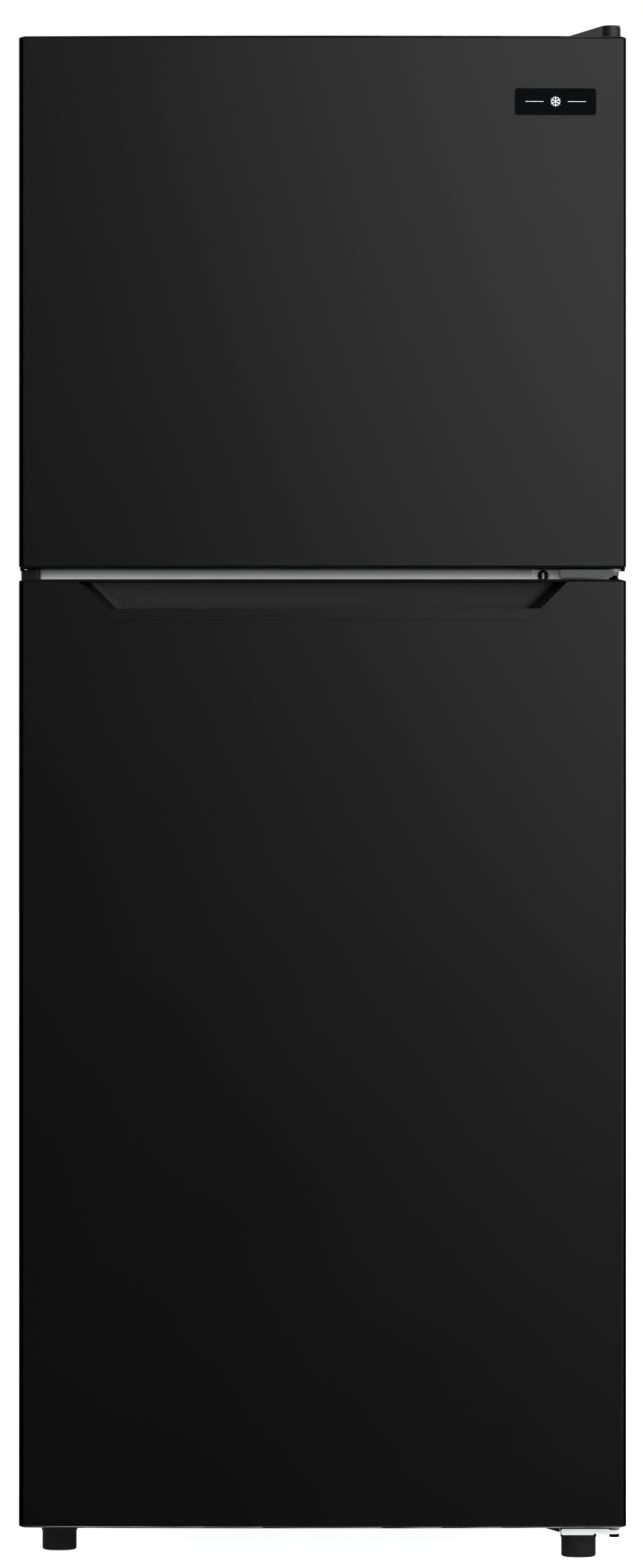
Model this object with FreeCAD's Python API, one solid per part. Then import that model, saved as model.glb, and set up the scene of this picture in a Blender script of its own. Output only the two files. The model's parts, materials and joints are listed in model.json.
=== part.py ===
import FreeCAD, Part
import math
import os

# Top freezer refrigerator, in millimetres. +Z is up, the doors face -Y, the hinges are on the
# +X side, and the origin is on the floor under the middle of the overall box.

V = FreeCAD.Vector

# ---------------------------------------------------------------- overall sizes
DOOR_WIDTH = 600.0
OVERALL_DEPTH = 660.0
CABINET_INSET = 6.0  # each cabinet side stands this far inside the doors
CABINET_DROP = 4.0  # cabinet's top under the freezer door's
CABINET_BOTTOM = 42.0
DOOR_FLOOR_GAP = 36.0
LOWER_DOOR_HEIGHT = 936.0
UPPER_DOOR_HEIGHT = 525.0
DOOR_GAP = 11.0

# ---------------------------------------------------------------- doors
DOOR_DEPTH = 56.0  # front of the crown to the back plane
DOOR_CROWN = 6.0  # how far the middle of the front bows out past its edges
DOOR_EDGE_R = 5.0
SKIN_T = 0.8
SKIN_RETURN = 12.0
CAP_T = 2.4
CAP_EDGE_R = 1.8
CAP_SKIRT = 12.0
CAP_WALL = 2.0
CAP_BEVEL = (6.5, 1.8)  # width and drop of the slope at each end of a cap
CAP_GROOVE = 0.4  # chamfer where a cap meets the skin
SKIN_FIT = 0.2  # slack between the skin and what slides into it
BOSS_BASE = 2.0  # boss past the end of a pin
DOOR_LINER_T = 1.5
DYKE_DEPTH = 38.0
DYKE_WIDTH = 24.0
DYKE_OUTER_R = 12.0
DYKE_INNER_R = 6.0
DYKE_SIDE_GAP = 14.0  # between the dyke and the compartment's wall
GASKET_GAP = 11.0  # door back to cabinet front
GASKET_INSET = 10.0
GASKET_WIDTH = 15.0
GASKET_CORNER_R = 8.0
BIN_REACH = 105.0  # from the door's back plane into the cabinet
BIN_HEIGHT = 88.0
BIN_WALL = 2.4
BIN_CORNER_R = 14.0
FREEZER_BIN_LIFT = 18.0  # lower freezer bin over the dyke opening's foot
FREEZER_BIN_TOP_GAP = 86.0  # upper freezer bin under the dyke opening's head
FRIDGE_BIN_LEVELS = (20.0, 285.0, 530.0)  # over the dyke opening's foot
STOP_WIDTH = 17.0
STOP_LENGTH = 22.0
STOP_DROP = 5.5
STOP_LOW_END = 0.6
STOP_ROOT = 1.0  # how far it reaches up into the cap
LUG_WIDTH = 3.6
LUG_DROP = 2.2
LUG_LENGTH = 20.0
LUG_FORWARD = 3.0  # middle of a lug in front of the hinge axis
LUG_EDGE_GAP = 1.0

# ---------------------------------------------------------------- handle pocket
HANDLE_TOP_HALF = 246.8
HANDLE_BOTTOM_HALF = 208.7
HANDLE_DROP = 40.2
HANDLE_CORNER_R = 5.0
HANDLE_LIP = 11.2  # height of the flush lip under the opening
HANDLE_LIP_T = 5.0
HANDLE_DEPTH = 26.0
HANDLE_WALL = 2.5
POCKET_RIM = 1.2  # rim left beside the pocket at the front
POCKET_TAPER = 17.0  # how far each side wall leans in towards the back
POCKET_BLEND_R = 7.0  # side walls into the back wall
POCKET_LIP_GAP = 2.0  # lip to the well behind it

# ---------------------------------------------------------------- badge
BADGE_WIDTH = 80.0
BADGE_HEIGHT = 26.0
BADGE_T = 1.5
BADGE_CORNER_R = 2.7
BADGE_SIDE_GAP = 30.0
BADGE_TOP_GAP = 52.0
BADGE_GLUE = 0.05

# ---------------------------------------------------------------- cabinet walls
SHELL_T = 0.8
SHELL_R = 3.0  # bend along the cabinet's top edges
SHELL_RETURN = 32.0
SIDE_WALL = 45.0
TOP_WALL = 45.0
BACK_WALL = 60.0
FLOOR_WALL = 53.0
MULLION_HEIGHT = 73.0
MULLION_LIP = 5.0  # liner flange left above and below the mullion bar
MULLION_BAR_INSET = 13.0
BASE_T = 1.2
BASE_FLANGE = 33.0
LINER_T = 1.5
ROOM_CORNER_R = 12.0
STEP_WALL = 38.0  # foam over and in front of the machine compartment
MACHINE_DEPTH = 185.0
MACHINE_HEIGHT = 220.0
LEDGE_REACH = 11.0
LEDGE_T = 6.0
DRAWER_LEDGE_DROP = 30.0
SHEET_FIT = 0.1  # slack between folded sheets

# ---------------------------------------------------------------- hinges
HINGE_INSET = 11.0  # door side to hinge axis
HINGE_SETBACK = 28.0  # crown to hinge axis
PIN_R = 3.5
PIN_GRIP = 14.0  # how far a pin reaches into a door
RUN_GAP = 0.3
PIN_CLEARANCE = 0.05
PIN_TIP_GAP = 0.5  # pin's end to the bottom of its bore
PIN_SHOULDER_GAP = 0.1
PIN_SPOOL_R = 5.0  # foot of the middle pin, on the fridge door side
WASHER_T = 3.0
LEAF_T = 3.5
LEAF_CORNER_R = 6.0
RIM_CORNER_R = 1.5
BOSS_R = 7.0
WASHER_R = 5.8
LEAF_OVERHANG = 4.2  # leaf past the hinge axis on the outer side
LEAF_NOSE = 11.0  # leaf in front of the hinge axis
MIDDLE_LEAF_WIDTH = 58.0
MIDDLE_LEAF_RISE = 2.0  # leaf top over the middle of the gap
MIDDLE_PLATE_WIDTH = 84.6
MIDDLE_PLATE_HEIGHT = 27.0
MIDDLE_PLATE_T = 2.5
MIDDLE_PLATE_R = 3.0
MIDDLE_PLATE_END = 8.0  # plate stops this far short of the leaf's end
MIDDLE_RIM_END = 2.3  # rim stops this far short of the axis
MIDDLE_RIM_UP = 2.5
MIDDLE_RIM_DOWN = 2.0
RIM_T = 2.5
TOP_LEAF_WIDTH = 44.0
TOP_NOSE_WIDTH = 30.0
TOP_NOSE_R = 10.0
TOP_LEAF_GAP = 1.0  # over the freezer door
TOP_LEAF_TAIL = 70.0
COVER_RISE = 12.0
COVER_WALL = 1.5
COVER_OVERHANG = 1.0  # past the cabinet's side
COVER_LENGTH = 52.6
COVER_FLAT = 17.8
COVER_TAIL = 78.0
COVER_BARREL_R = 9.3
COVER_LIFT = 0.7  # cover over the freezer door
COVER_LOW_EDGE = 0.6  # height of the ramp's low end
COVER_FRONT = 22.0  # crown to the ramp's front
COVER_EDGE_R = 3.5
COVER_BARREL_FORWARD = 2.0
BOTTOM_LEAF_WIDTH = 58.0
BOTTOM_LEAF_T = 4.0
BOTTOM_RIM_UP = 1.2
BOTTOM_RIM_DOWN = 0.9
BOTTOM_RIM_END = 5.0  # rim stops this far short of the axis
BOTTOM_ARCH_R = 5.0
BOTTOM_ARCH_END = 11.0
BOTTOM_LEAF_LOW = 70.0  # length of its low stretch behind the axis
BOTTOM_LEAF_TAIL = 46.0
PIN_HEAD_R = 5.0
PIN_HEAD_H = 3.6
SCREW_HEAD_R = 5.8
SCREW_HEAD_H = 3.2
SCREW_SLOT_DEPTH = 1.2
SCREW_SLOT_WIDTH = 2.4
SCREW_SLOT_SHARE = 0.55  # half of its length, as a share of the head's radius
SCREW_FIT = 0.05
SCREW_R = 2.4
SCREW_LENGTH = 14.0
TOP_SCREWS = ((12.0, 14.0), (34.0, 14.0), (23.0, 42.0))  # from the leaf's left end and the front
MIDDLE_SCREW_X = 11.3
BOTTOM_SCREWS_X = (14.0, 44.0)
BOTTOM_SCREW_BACK = 22.0
FOOT_SCREW_REACH = 9.0
HOLE_COVER_WIDTH = 18.7
HOLE_COVER_REACH = 31.0
HOLE_COVER_HEIGHT = 9.6
HOLE_COVER_LIFT = 0.8  # over the fridge door
HOLE_COVER_EDGE = 0.8  # in from the door's side
HOLE_COVER_WALL = 2.0
HOLE_COVER_TOP = 1.6
HOLE_COVER_FOOT_WIDTH = 12.0
HOLE_COVER_FOOT_HALF = 12.0
HOLE_COVER_R = 4.0

# ---------------------------------------------------------------- feet and rollers
FOOT_R = 17.2
FOOT_HEIGHT = 19.8
FOOT_FLANGE_R = 18.0
FOOT_FLANGE_T = 2.8
FOOT_CHAMFER = 1.0
FOOT_RIBS = 30
FOOT_RIB_R = 1.1
FOOT_RIB_OUT = 0.4  # groove centres past the pad's surface
FOOT_OVERLAP = 0.5
STUD_R = 4.0
STUD_GRIP = 12.0
THREAD_GAP = 0.1
FOOT_INSET = 44.4  # right foot's axis from the door side
LEFT_FOOT_INSET = 35.0
RIGHT_FOOT_SETBACK = 75.0
LEFT_FOOT_SETBACK = 131.0
FOOT_BRACKET_WIDTH = 46.0
FOOT_BRACKET_LENGTH = 60.0
FOOT_BRACKET_TAB = 18.0
ROLLER_R = 16.0
ROLLER_WIDTH = 18.0
ROLLER_INSET = 42.0
ROLLER_SETBACK = 40.0  # from the cabinet's back
AXLE_R = 3.0
ROLLER_CHEEK_T = 2.0
ROLLER_CHEEK_GAP = 1.0
ROLLER_CHEEK_HALF = 14.0
ROLLER_CHEEK_DROP = 9.0  # cheek below the axle
ROLLER_DISH = 4.0
ROLLER_HUB_WALL = 3.5
ROLLER_CHAMFER = 1.5
AXLE_HEAD = 1.5

# ---------------------------------------------------------------- machine compartment
RAIL_T = 2.0
RAIL_LIP = 24.0
COMPRESSOR_R = 70.0
COMPRESSOR_HEIGHT = 140.0
COMPRESSOR_X = 70.0
COMPRESSOR_LEG = 86.0
COMPRESSOR_LEG_DEPTH = 52.0
COMPRESSOR_LEG_T = 3.0
COMPRESSOR_LEG_R = 12.0
COMPRESSOR_LEG_RIM = 14.0  # plate past the grommets' centres
COMPRESSOR_DOME_R = 30.0
SEAM_LEVEL = 0.55  # share of the pot's height
SEAM_T = 5.0
SEAM_REACH = 3.0
GROMMET_R = 11.0
GROMMET_HEIGHT = 14.0
GROMMET_PLUG_R = 3.8
GROMMET_HOLE_R = 4.0
RELAY_WIDTH = 26.0
RELAY_DEPTH = 52.0
RELAY_HEIGHT = 62.0
RELAY_LIFT = 32.0
RELAY_R = 4.0
PAN_LENGTH = 210.0
PAN_DEPTH = 150.0
PAN_HEIGHT = 30.0
PAN_WALL = 2.0
PAN_CORNER_R = 16.0
PIPE_R = 3.2
COIL_BEND = 0.45  # bend radius of a looped tube, as a share of its pitch
CONDENSER_R = 2.4
CONDENSER_RUNS = 6
CONDENSER_GAP = 0.2
CONDENSER_FRONT_GAP = 60.0
CONDENSER_CROSSING = 68.0
CONDENSER_PITCH = 75.0
CONDENSER_LOW = 330.0
CONDENSER_TOP_GAP = 124.0  # from the cabinet's top to the highest bends
DRIER_R = 9.5
DRIER_LENGTH = 80.0
DRIER_END_R = 6.0
DRIER_INSET = 90.0  # from the cabinet's left side
DRIER_LIFT = 120.0
CAPILLARY_R = 1.6
PIPE_GAP = 1.5  # between a pipe and the coil's end beside it
DISCHARGE_LIFT = 48.0
SUCTION_LIFT = 20.0
PIPE_BEND = 14.0
GLAND_R = 8.0
GLAND_BORE = 3.6
GLAND_RIM = 1.5
GLAND_INSET = 130.0  # from the cabinet's left side
GLAND_LENGTH = 18.0

# ---------------------------------------------------------------- inside the freezer
EVAPORATOR_DEPTH = 58.0
EVAPORATOR_WIDTH = 380.0
EVAPORATOR_HEIGHT = 190.0
EVAPORATOR_THICK = 46.0
EVAPORATOR_LIFT = 24.0  # above the freezer's floor
EVAPORATOR_HANGER = 4.0
EVAPORATOR_PASSES = 5
EVAPORATOR_TUBE_R = 4.0
EVAPORATOR_LOOP = 0.6  # tube past the fins, as a share of the pass pitch
FIN_T = 1.2
FIN_PITCH = 14.0
COVER_PANEL_T = 2.0
GRILLE_ROWS = 9
GRILLE_PITCH = 9.0
GRILLE_SLOT = 5.0
RETURN_SLOTS = 19
RETURN_PITCH = 24.0
RETURN_SLOT = (16.0, 6.0)  # width and height
RETURN_LEVELS = (16.0, 28.0)  # over the panel's foot
SIDE_VENT_INSET = 70.0
SIDE_VENT_HALF = 28.0
SIDE_VENT_ROWS = 5
SIDE_VENT_DROP = 20.0  # lowest row under the fan's axis
HEATER_R = 4.0
HEATER_LIFT = 13.0
HEATER_BACK_GAP = 12.0
HEATER_BEND = 12.0
FAN_R = 46.0
FAN_HUB_R = 13.0
FAN_BLADES = 5
FAN_DEPTH = 14.0
FAN_MOTOR_R = 22.0
FAN_MOTOR_DEPTH = 28.0
FAN_MOUNT_HALF = 34.0
FAN_SHAFT_R = 2.0
FAN_GAP = 2.0  # blades to motor
FAN_BLADE_T = 1.6
FAN_BLADE_WIDTH = 18.0
FAN_BLADE_R = 6.0
FAN_PITCH_ANGLE = 28.0
FAN_BELOW_TOP = 95.0
DRAIN_R = 9.0
DRAIN_FALL = 24.0
DRAIN_BACK_GAP = 24.0
DRAIN_BEND = 22.0
DRAIN_WALL = 1.5
WIRE_R = 2.2
WIRE_COUNT = 17
WIRE_THIN = 0.7  # cross wires, as a share of the frame wire
WIRE_END_GAP = 24.0
SHELF_SIDE_GAP = 2.5
FREEZER_SHELF_LEVEL = 225.0

# ---------------------------------------------------------------- inside the fridge
SHELF_FRONT_GAP = 14.0  # behind the door bins
GLASS_T = 4.0
TRIM_HEIGHT = 14.0
TRIM_DEPTH = 16.0
TRIM_WALL = 2.0
TRIM_EDGE_R = 2.5
SHELF_LEVELS = (228.0, 425.0, 625.0)  # above the fridge floor, the crisper's cover first
DRAWER_WALL = 2.4
DRAWER_HEIGHT = 184.0
DRAWER_SIDE_GAP = 19.0
DRAWER_FRONT_T = 8.0
DRAWER_FLOOR_GAP = 8.0
DRAWER_CORNER_R = 10.0
DRAWER_WING_T = 3.0
DRAWER_WING_SETBACK = 14.0
DRAWER_PULL_HALF = 70.0
DRAWER_PULL_Z = (34.0, 10.0)  # its foot and head under the drawer's rim
DRAWER_PULL_R = 8.0
CONTROL_WIDTH = 300.0
CONTROL_DEPTH = 120.0
CONTROL_HEIGHT = 42.0
CONTROL_WALL = 2.2
CONTROL_CORNER_R = 8.0
CONTROL_SETBACK = 8.0  # behind the shelves' front
DIAL_R = 17.0
DIAL_T = 9.0
DIAL_X = 95.0
DIAL_SHAFT_R = 3.0
DIAL_SHAFT_REACH = 16.0
DIAL_EDGE_R = 1.5
GRIP_WIDTH = 5.2
GRIP_R = 2.2
LENS_WIDTH = 120.0
LENS_DEPTH = 60.0
LENS_DROP = 9.0
LENS_WALL = 2.0
LENS_X = -40.0
LENS_CORNER_R = 8.0

# ---------------------------------------------------------------- worked out from the above
door_half = DOOR_WIDTH / 2
door_front = -OVERALL_DEPTH / 2
door_back = door_front + DOOR_DEPTH
cabinet_front = door_back + GASKET_GAP
cabinet_back = OVERALL_DEPTH / 2
cabinet_half = door_half - CABINET_INSET
lower_door = (DOOR_FLOOR_GAP, DOOR_FLOOR_GAP + LOWER_DOOR_HEIGHT)
upper_door = (lower_door[1] + DOOR_GAP, lower_door[1] + DOOR_GAP + UPPER_DOOR_HEIGHT)
cabinet_top = upper_door[1] - CABINET_DROP
gap_middle = (lower_door[1] + upper_door[0]) / 2
mullion_bottom = gap_middle - MULLION_HEIGHT / 2
mullion_top = gap_middle + MULLION_HEIGHT / 2

crown_radius = (door_half**2 + DOOR_CROWN**2) / (2 * DOOR_CROWN)
crown_centre = door_front + crown_radius

room_half = cabinet_half - SIDE_WALL
room_back = cabinet_back - BACK_WALL
freezer_room = (mullion_top, cabinet_top - TOP_WALL)
fridge_room = (CABINET_BOTTOM + FLOOR_WALL, mullion_bottom)
machine_front = cabinet_back - MACHINE_DEPTH
machine_top = CABINET_BOTTOM + MACHINE_HEIGHT
step_front = machine_front - STEP_WALL
step_top = machine_top + STEP_WALL

hinge_x = door_half - HINGE_INSET
hinge_y = door_front + HINGE_SETBACK
leaf_right = hinge_x + LEAF_OVERHANG
leaf_nose = hinge_y - LEAF_NOSE

handle_top = lower_door[1] - CAP_T
handle_bottom = lower_door[1] - HANDLE_DROP
dyke_half = room_half - DYKE_SIDE_GAP
bin_half = dyke_half - DYKE_WIDTH - RUN_GAP
bin_back = door_back + BIN_REACH
shelf_front = bin_back + SHELF_FRONT_GAP
cover_plane = room_back - EVAPORATOR_DEPTH

condenser_high = cabinet_top - CONDENSER_TOP_GAP

rail_top = CABINET_BOTTOM + RAIL_T
compressor_y = (machine_front + cabinet_back) / 2
compressor_low = rail_top + GROMMET_HEIGHT + COMPRESSOR_LEG_T
fan_z = freezer_room[1] - FAN_BELOW_TOP


# ---------------------------------------------------------------- small shape helpers
def box(x, y, z):
    """A box between the two values of each pair."""
    return Part.makeBox(x[1] - x[0], y[1] - y[0], z[1] - z[0], V(x[0], y[0], z[0]))


def rod(start, end, radius):
    """A cylinder from one point to another."""
    run = end - start
    return Part.makeCylinder(radius, run.Length, start, run)


def ring(start, end, outer, inner):
    """A straight sleeve."""
    run = (end - start).normalize()
    return rod(start, end, outer).cut(rod(start - run, end + run, inner))


def along(edge, axis):
    """True for a straight edge that runs along the axis."""
    if edge.Curve.TypeId != "Part::GeomLine":
        return False
    return abs(abs(edge.Curve.Direction.dot(axis)) - 1) < 1e-6


def soften(solid, radius, axis, keep=lambda point: True):
    """Rounds the straight edges along an axis whose middle point passes the test."""
    edges = [e for e in solid.Edges if along(e, axis) and keep(e.CenterOfMass)]
    return solid.makeFillet(radius, edges) if edges else solid


def soft_box(x, y, z, radius, axis):
    """A box with its four edges along one axis rounded."""
    return soften(box(x, y, z), radius, axis)


def prism(points, run):
    """A flat outline of points, pushed along a vector."""
    face = Part.Face(Part.makePolygon([*points, points[0]]))
    return face.extrude(run)


def fuse(solids):
    """One solid out of several that meet."""
    whole = solids[0].multiFuse(solids[1:])
    return whole.removeSplitter()


def both_sides(solid):
    """The solid and its mirror image across the middle plane."""
    return [solid, solid.mirror(V(0, 0, 0), V(1, 0, 0))]


def tube(points, radius, bend):
    """A bent pipe: straight runs joined by tangent arcs of one bend radius."""
    edges = []
    last = points[0]
    for before, corner, after in zip(points, points[1:], points[2:]):
        way_in = (corner - before).normalize()
        way_out = (after - corner).normalize()
        turn = way_in.getAngle(way_out)
        cut_back = bend * math.tan(turn / 2)
        start = corner - way_in * cut_back
        end = corner + way_out * cut_back
        inward = (way_out - way_in).normalize()
        middle = corner + inward * (bend / math.cos(turn / 2) - bend)
        edges.append(Part.makeLine(last, start))
        edges.append(Part.Arc(start, middle, end).toShape())
        last = end
    edges.append(Part.makeLine(last, points[-1]))
    path = Part.Wire(edges)
    section = Part.Wire(Part.makeCircle(radius, points[0], points[1] - points[0]))
    return path.makePipeShell([section], True, False)


def screw(seat, outward):
    """A domed screw with a wide slot: its head stands on the seat and its shank goes in."""
    dome_r = (SCREW_HEAD_R**2 + SCREW_HEAD_H**2) / (2 * SCREW_HEAD_H)
    dome = Part.makeSphere(dome_r, seat + outward * (SCREW_HEAD_H - dome_r))
    head = dome.common(rod(seat, seat + outward * SCREW_HEAD_H * 2, SCREW_HEAD_R))
    shank = rod(seat - outward * SCREW_LENGTH, seat + outward, SCREW_R)
    reach = SCREW_HEAD_R * SCREW_SLOT_SHARE
    side = SCREW_SLOT_WIDTH / 2
    slot = box((-side, side), (-reach, reach), (-SCREW_SLOT_DEPTH, SCREW_SLOT_DEPTH))
    slot.Placement = FreeCAD.Placement(
        seat + outward * SCREW_HEAD_H, FreeCAD.Rotation(V(0, 0, 1), outward)
    )
    return head.fuse(shank).removeSplitter().cut(slot)


def save(name, *solids):
    """Writes one named part, of one or more separate solids."""
    shape = solids[0] if len(solids) == 1 else Part.makeCompound(list(solids))
    if len(shape.Solids) == 1:
        shape = shape.Solids[0]
    shape.exportStep(f"parts/{name}.step")


# ---------------------------------------------------------------- door shapes
def door_block(z, inset=0.0, back=None):
    """The door's crowned plan, drawn in by an inset, between two heights."""
    back = door_back if back is None else back
    half = door_half - inset
    radius = crown_radius - inset
    side = crown_centre - math.sqrt(radius**2 - half**2)
    corners = [V(-half, side, z[0]), V(half, side, z[0]), V(half, back, z[0]), V(-half, back, z[0])]
    middle = V(0, crown_centre - radius, z[0])
    edges = [Part.Arc(corners[0], middle, corners[1]).toShape()]
    edges += [Part.makeLine(corners[i], corners[(i + 1) % 4]) for i in (1, 2, 3)]
    solid = Part.Face(Part.Wire(edges)).extrude(V(0, 0, z[1] - z[0]))
    return soften(solid, max(DOOR_EDGE_R - inset, 1.0), V(0, 0, 1), lambda p: p.y < side + 1)


def door_skin(z):
    """Folded sheet: the crowned front, both sides and a return behind each side."""
    face = (z[0] + CAP_T, z[1] - CAP_T)
    through = (z[0] - 1, z[1] + 1)
    hollow = door_block(through, SKIN_T, door_back - SKIN_T)
    inside = door_half - SKIN_RETURN
    mouth = box((-inside, inside), (door_back - 2 * SKIN_T, door_back + 1), through)
    return door_block(face).cut(hollow).cut(mouth)


def door_cap(z, top):
    """End cap: a plate that closes the skin, a skirt inside it and the hinge pin's boss."""
    plate_z = (z[1] - CAP_T, z[1]) if top else (z[0], z[0] + CAP_T)
    inner_z = plate_z[0] if top else plate_z[1]
    skirt_z = (inner_z - CAP_SKIRT, inner_z) if top else (inner_z, inner_z + CAP_SKIRT)
    plate = door_block(plate_z)
    outer_z = z[1] if top else z[0]
    rim = [e for e in plate.Edges if abs(e.CenterOfMass.z - outer_z) < 1e-6]
    plate = plate.makeFillet(CAP_EDGE_R, rim)
    joint = [e for e in plate.Edges if abs(e.CenterOfMass.z - inner_z) < 1e-6]
    plate = plate.makeChamfer(CAP_GROOVE, joint)
    for corner in cap_bevels(outer_z, inner_z):
        plate = plate.cut(corner)
    seat = SKIN_T + SKIN_FIT
    liner_face = door_back - DOOR_LINER_T - SKIN_FIT
    skirt = door_block(skirt_z, seat, liner_face)
    skirt = skirt.cut(door_block((skirt_z[0] - 1, skirt_z[1] + 1), seat + CAP_WALL, liner_face - CAP_WALL))
    grip = PIN_GRIP + BOSS_BASE
    boss_z = (z[1] - grip, z[1] - CAP_T / 2) if top else (z[0] + CAP_T / 2, z[0] + grip)
    boss = rod(V(hinge_x, hinge_y, boss_z[0]), V(hinge_x, hinge_y, boss_z[1]), BOSS_R)
    return fuse([plate, skirt, boss]).cut(pin_hole(z, top))


def cap_bevels(outer_z, inner_z):
    """Wedges that slope a cap's outer face down to its two ends."""
    width, drop = CAP_BEVEL
    way = 1 if outer_z > inner_z else -1
    outline = [
        V(door_half - width, door_front - 1, outer_z),
        V(door_half + width, door_front - 1, outer_z),
        V(door_half + width, door_front - 1, outer_z - 2 * way * drop),
    ]
    return both_sides(prism(outline, V(0, DOOR_DEPTH + 2, 0)))


def pin_hole(z, top):
    """The hinge pin's running hole in a door's end."""
    deep = PIN_GRIP + PIN_TIP_GAP
    ends = (z[1] - deep, z[1] + 1) if top else (z[0] - 1, z[0] + deep)
    return rod(V(hinge_x, hinge_y, ends[0]), V(hinge_x, hinge_y, ends[1]), PIN_R + PIN_CLEARANCE)


def dyke_ring(room, inset, y):
    """The rectangular dyke that stands behind a door, drawn in by an inset all round."""
    low = room[0] + DYKE_SIDE_GAP + inset
    high = room[1] - DYKE_SIDE_GAP - inset
    half = dyke_half - inset
    outer = soft_box((-half, half), y, (low, high), DYKE_OUTER_R - inset, V(0, 1, 0))
    width = DYKE_WIDTH - 2 * inset
    inner_half = half - width
    inner_z = (low + width, high - width)
    inner_y = (y[0] - 1, y[1] + 1)
    inner_r = DYKE_INNER_R + inset
    return outer.cut(soft_box((-inner_half, inner_half), inner_y, inner_z, inner_r, V(0, 1, 0)))


def door_liner(z, room):
    """Formed inner sheet of a door: a flat plate with a hollow dyke standing on it."""
    half = door_half - SKIN_RETURN - RUN_GAP
    plate_y = (door_back - DOOR_LINER_T, door_back)
    plate = box((-half, half), plate_y, (z[0] + CAP_T + RUN_GAP, z[1] - CAP_T - RUN_GAP))
    dyke = dyke_ring(room, 0, (door_back - DOOR_LINER_T, door_back + DYKE_DEPTH))
    hollow = dyke_ring(room, DOOR_LINER_T, (door_back - 3, door_back + DYKE_DEPTH - DOOR_LINER_T))
    return fuse([plate, dyke]).cut(hollow)


def door_foam(z, room, *neighbours):
    """Foam that fills a door and its dyke around everything set into it."""
    inner_z = (z[0] + CAP_T, z[1] - CAP_T)
    block = door_block(inner_z, SKIN_T + 0.1, door_back - DOOR_LINER_T)
    dyke_y = (door_back - 2 * DOOR_LINER_T, door_back + DYKE_DEPTH - DOOR_LINER_T)
    foam = fuse([block, dyke_ring(room, DOOR_LINER_T, dyke_y)])
    for neighbour in neighbours:
        foam = foam.cut(neighbour)
    return max(foam.Solids, key=lambda s: s.Volume)


def door_gasket(z):
    """Magnetic gasket: a soft frame that stands just off the cabinet's front."""
    half = door_half - GASKET_INSET
    y = (door_back, cabinet_front - RUN_GAP)
    frame_z = (z[0] + GASKET_INSET, z[1] - GASKET_INSET)
    inner_half = half - GASKET_WIDTH
    inner_z = (frame_z[0] + GASKET_WIDTH, frame_z[1] - GASKET_WIDTH)
    frame = soft_box((-half, half), y, frame_z, GASKET_CORNER_R, V(0, 1, 0))
    return frame.cut(box((-inner_half, inner_half), (y[0] - 1, y[1] + 1), inner_z))


def door_bin(level):
    """An open bin between the dykes, with a rounded front."""
    x = (-bin_half, bin_half)
    y = (door_back + RUN_GAP, bin_back)
    z = (level, level + BIN_HEIGHT)
    outer = soften(box(x, y, z), BIN_CORNER_R, V(0, 0, 1), lambda p: p.y > bin_back - 1)
    inner = box(
        (x[0] + BIN_WALL, x[1] - BIN_WALL),
        (y[0] + BIN_WALL, y[1] - BIN_WALL),
        (z[0] + BIN_WALL, z[1] + 1),
    )
    inner_r = BIN_CORNER_R - BIN_WALL
    inner = soften(inner, inner_r, V(0, 0, 1), lambda p: p.y > bin_back - BIN_WALL - 1)
    return outer.cut(inner)


# ---------------------------------------------------------------- handle pocket
def trapezoid(y, top_half, top, low_half, low):
    """Corners of an upright trapezoid, wide above and narrow below."""
    return [V(-top_half, y, top), V(-low_half, y, low), V(low_half, y, low), V(top_half, y, top)]


def handle_outline(gap):
    """The handle's cut-out as a prism through the door's front: wide above, narrow below."""
    y = door_front - 2
    slope = (HANDLE_TOP_HALF - HANDLE_BOTTOM_HALF) / (handle_top - handle_bottom)
    low = handle_bottom + gap
    top_half = HANDLE_TOP_HALF - gap
    low_half = HANDLE_BOTTOM_HALF - gap + slope * gap
    points = trapezoid(y, top_half, handle_top, low_half, low)
    solid = prism(points, V(0, HANDLE_DEPTH + HANDLE_WALL + DOOR_CROWN + 2, 0))
    return soften(solid, HANDLE_CORNER_R - gap, V(0, 1, 0), lambda p: p.z < low + 1)


def along_back_wall(edge):
    """True for a slanted edge between a side wall and the back wall of the pocket."""
    middle = edge.CenterOfMass
    deep = abs(middle.y - door_front - HANDLE_DEPTH) < 0.01
    slanted = not along(edge, V(1, 0, 0))
    return deep and slanted


def handle_pocket():
    """The hollow that fingers reach into: a tapered mouth and a well behind the lip."""
    lip_top = handle_bottom + HANDLE_LIP
    slope = (HANDLE_TOP_HALF - HANDLE_BOTTOM_HALF) / (handle_top - handle_bottom)
    top = handle_top + 1
    wires = []
    for y, taper in ((door_front - 2, 0), (door_front + HANDLE_DEPTH, POCKET_TAPER)):
        top_half = HANDLE_TOP_HALF - POCKET_RIM - taper + slope
        low_half = top_half - slope * (top - lip_top)
        points = trapezoid(y, top_half, top, low_half, lip_top)
        wires.append(Part.makePolygon([*points, points[0]]))
    mouth = Part.makeLoft(wires, True, True)
    blends = [e for e in mouth.Edges if along_back_wall(e)]
    mouth = mouth.makeFillet(POCKET_BLEND_R, blends)
    well_half = HANDLE_BOTTOM_HALF - POCKET_RIM - POCKET_TAPER / 2
    well = box(
        (-well_half, well_half),
        (door_front + HANDLE_LIP_T + POCKET_LIP_GAP, door_front + HANDLE_DEPTH),
        (handle_bottom + HANDLE_WALL + 1, lip_top + 1),
    )
    return mouth.fuse(well).removeSplitter()


def handle_insert():
    """Moulded handle: flush with the door's front and hollowed by the pocket."""
    body = handle_outline(RUN_GAP)
    body = body.common(door_block((handle_bottom - 1, handle_top - 0.1)))
    return body.cut(handle_pocket())


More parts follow.
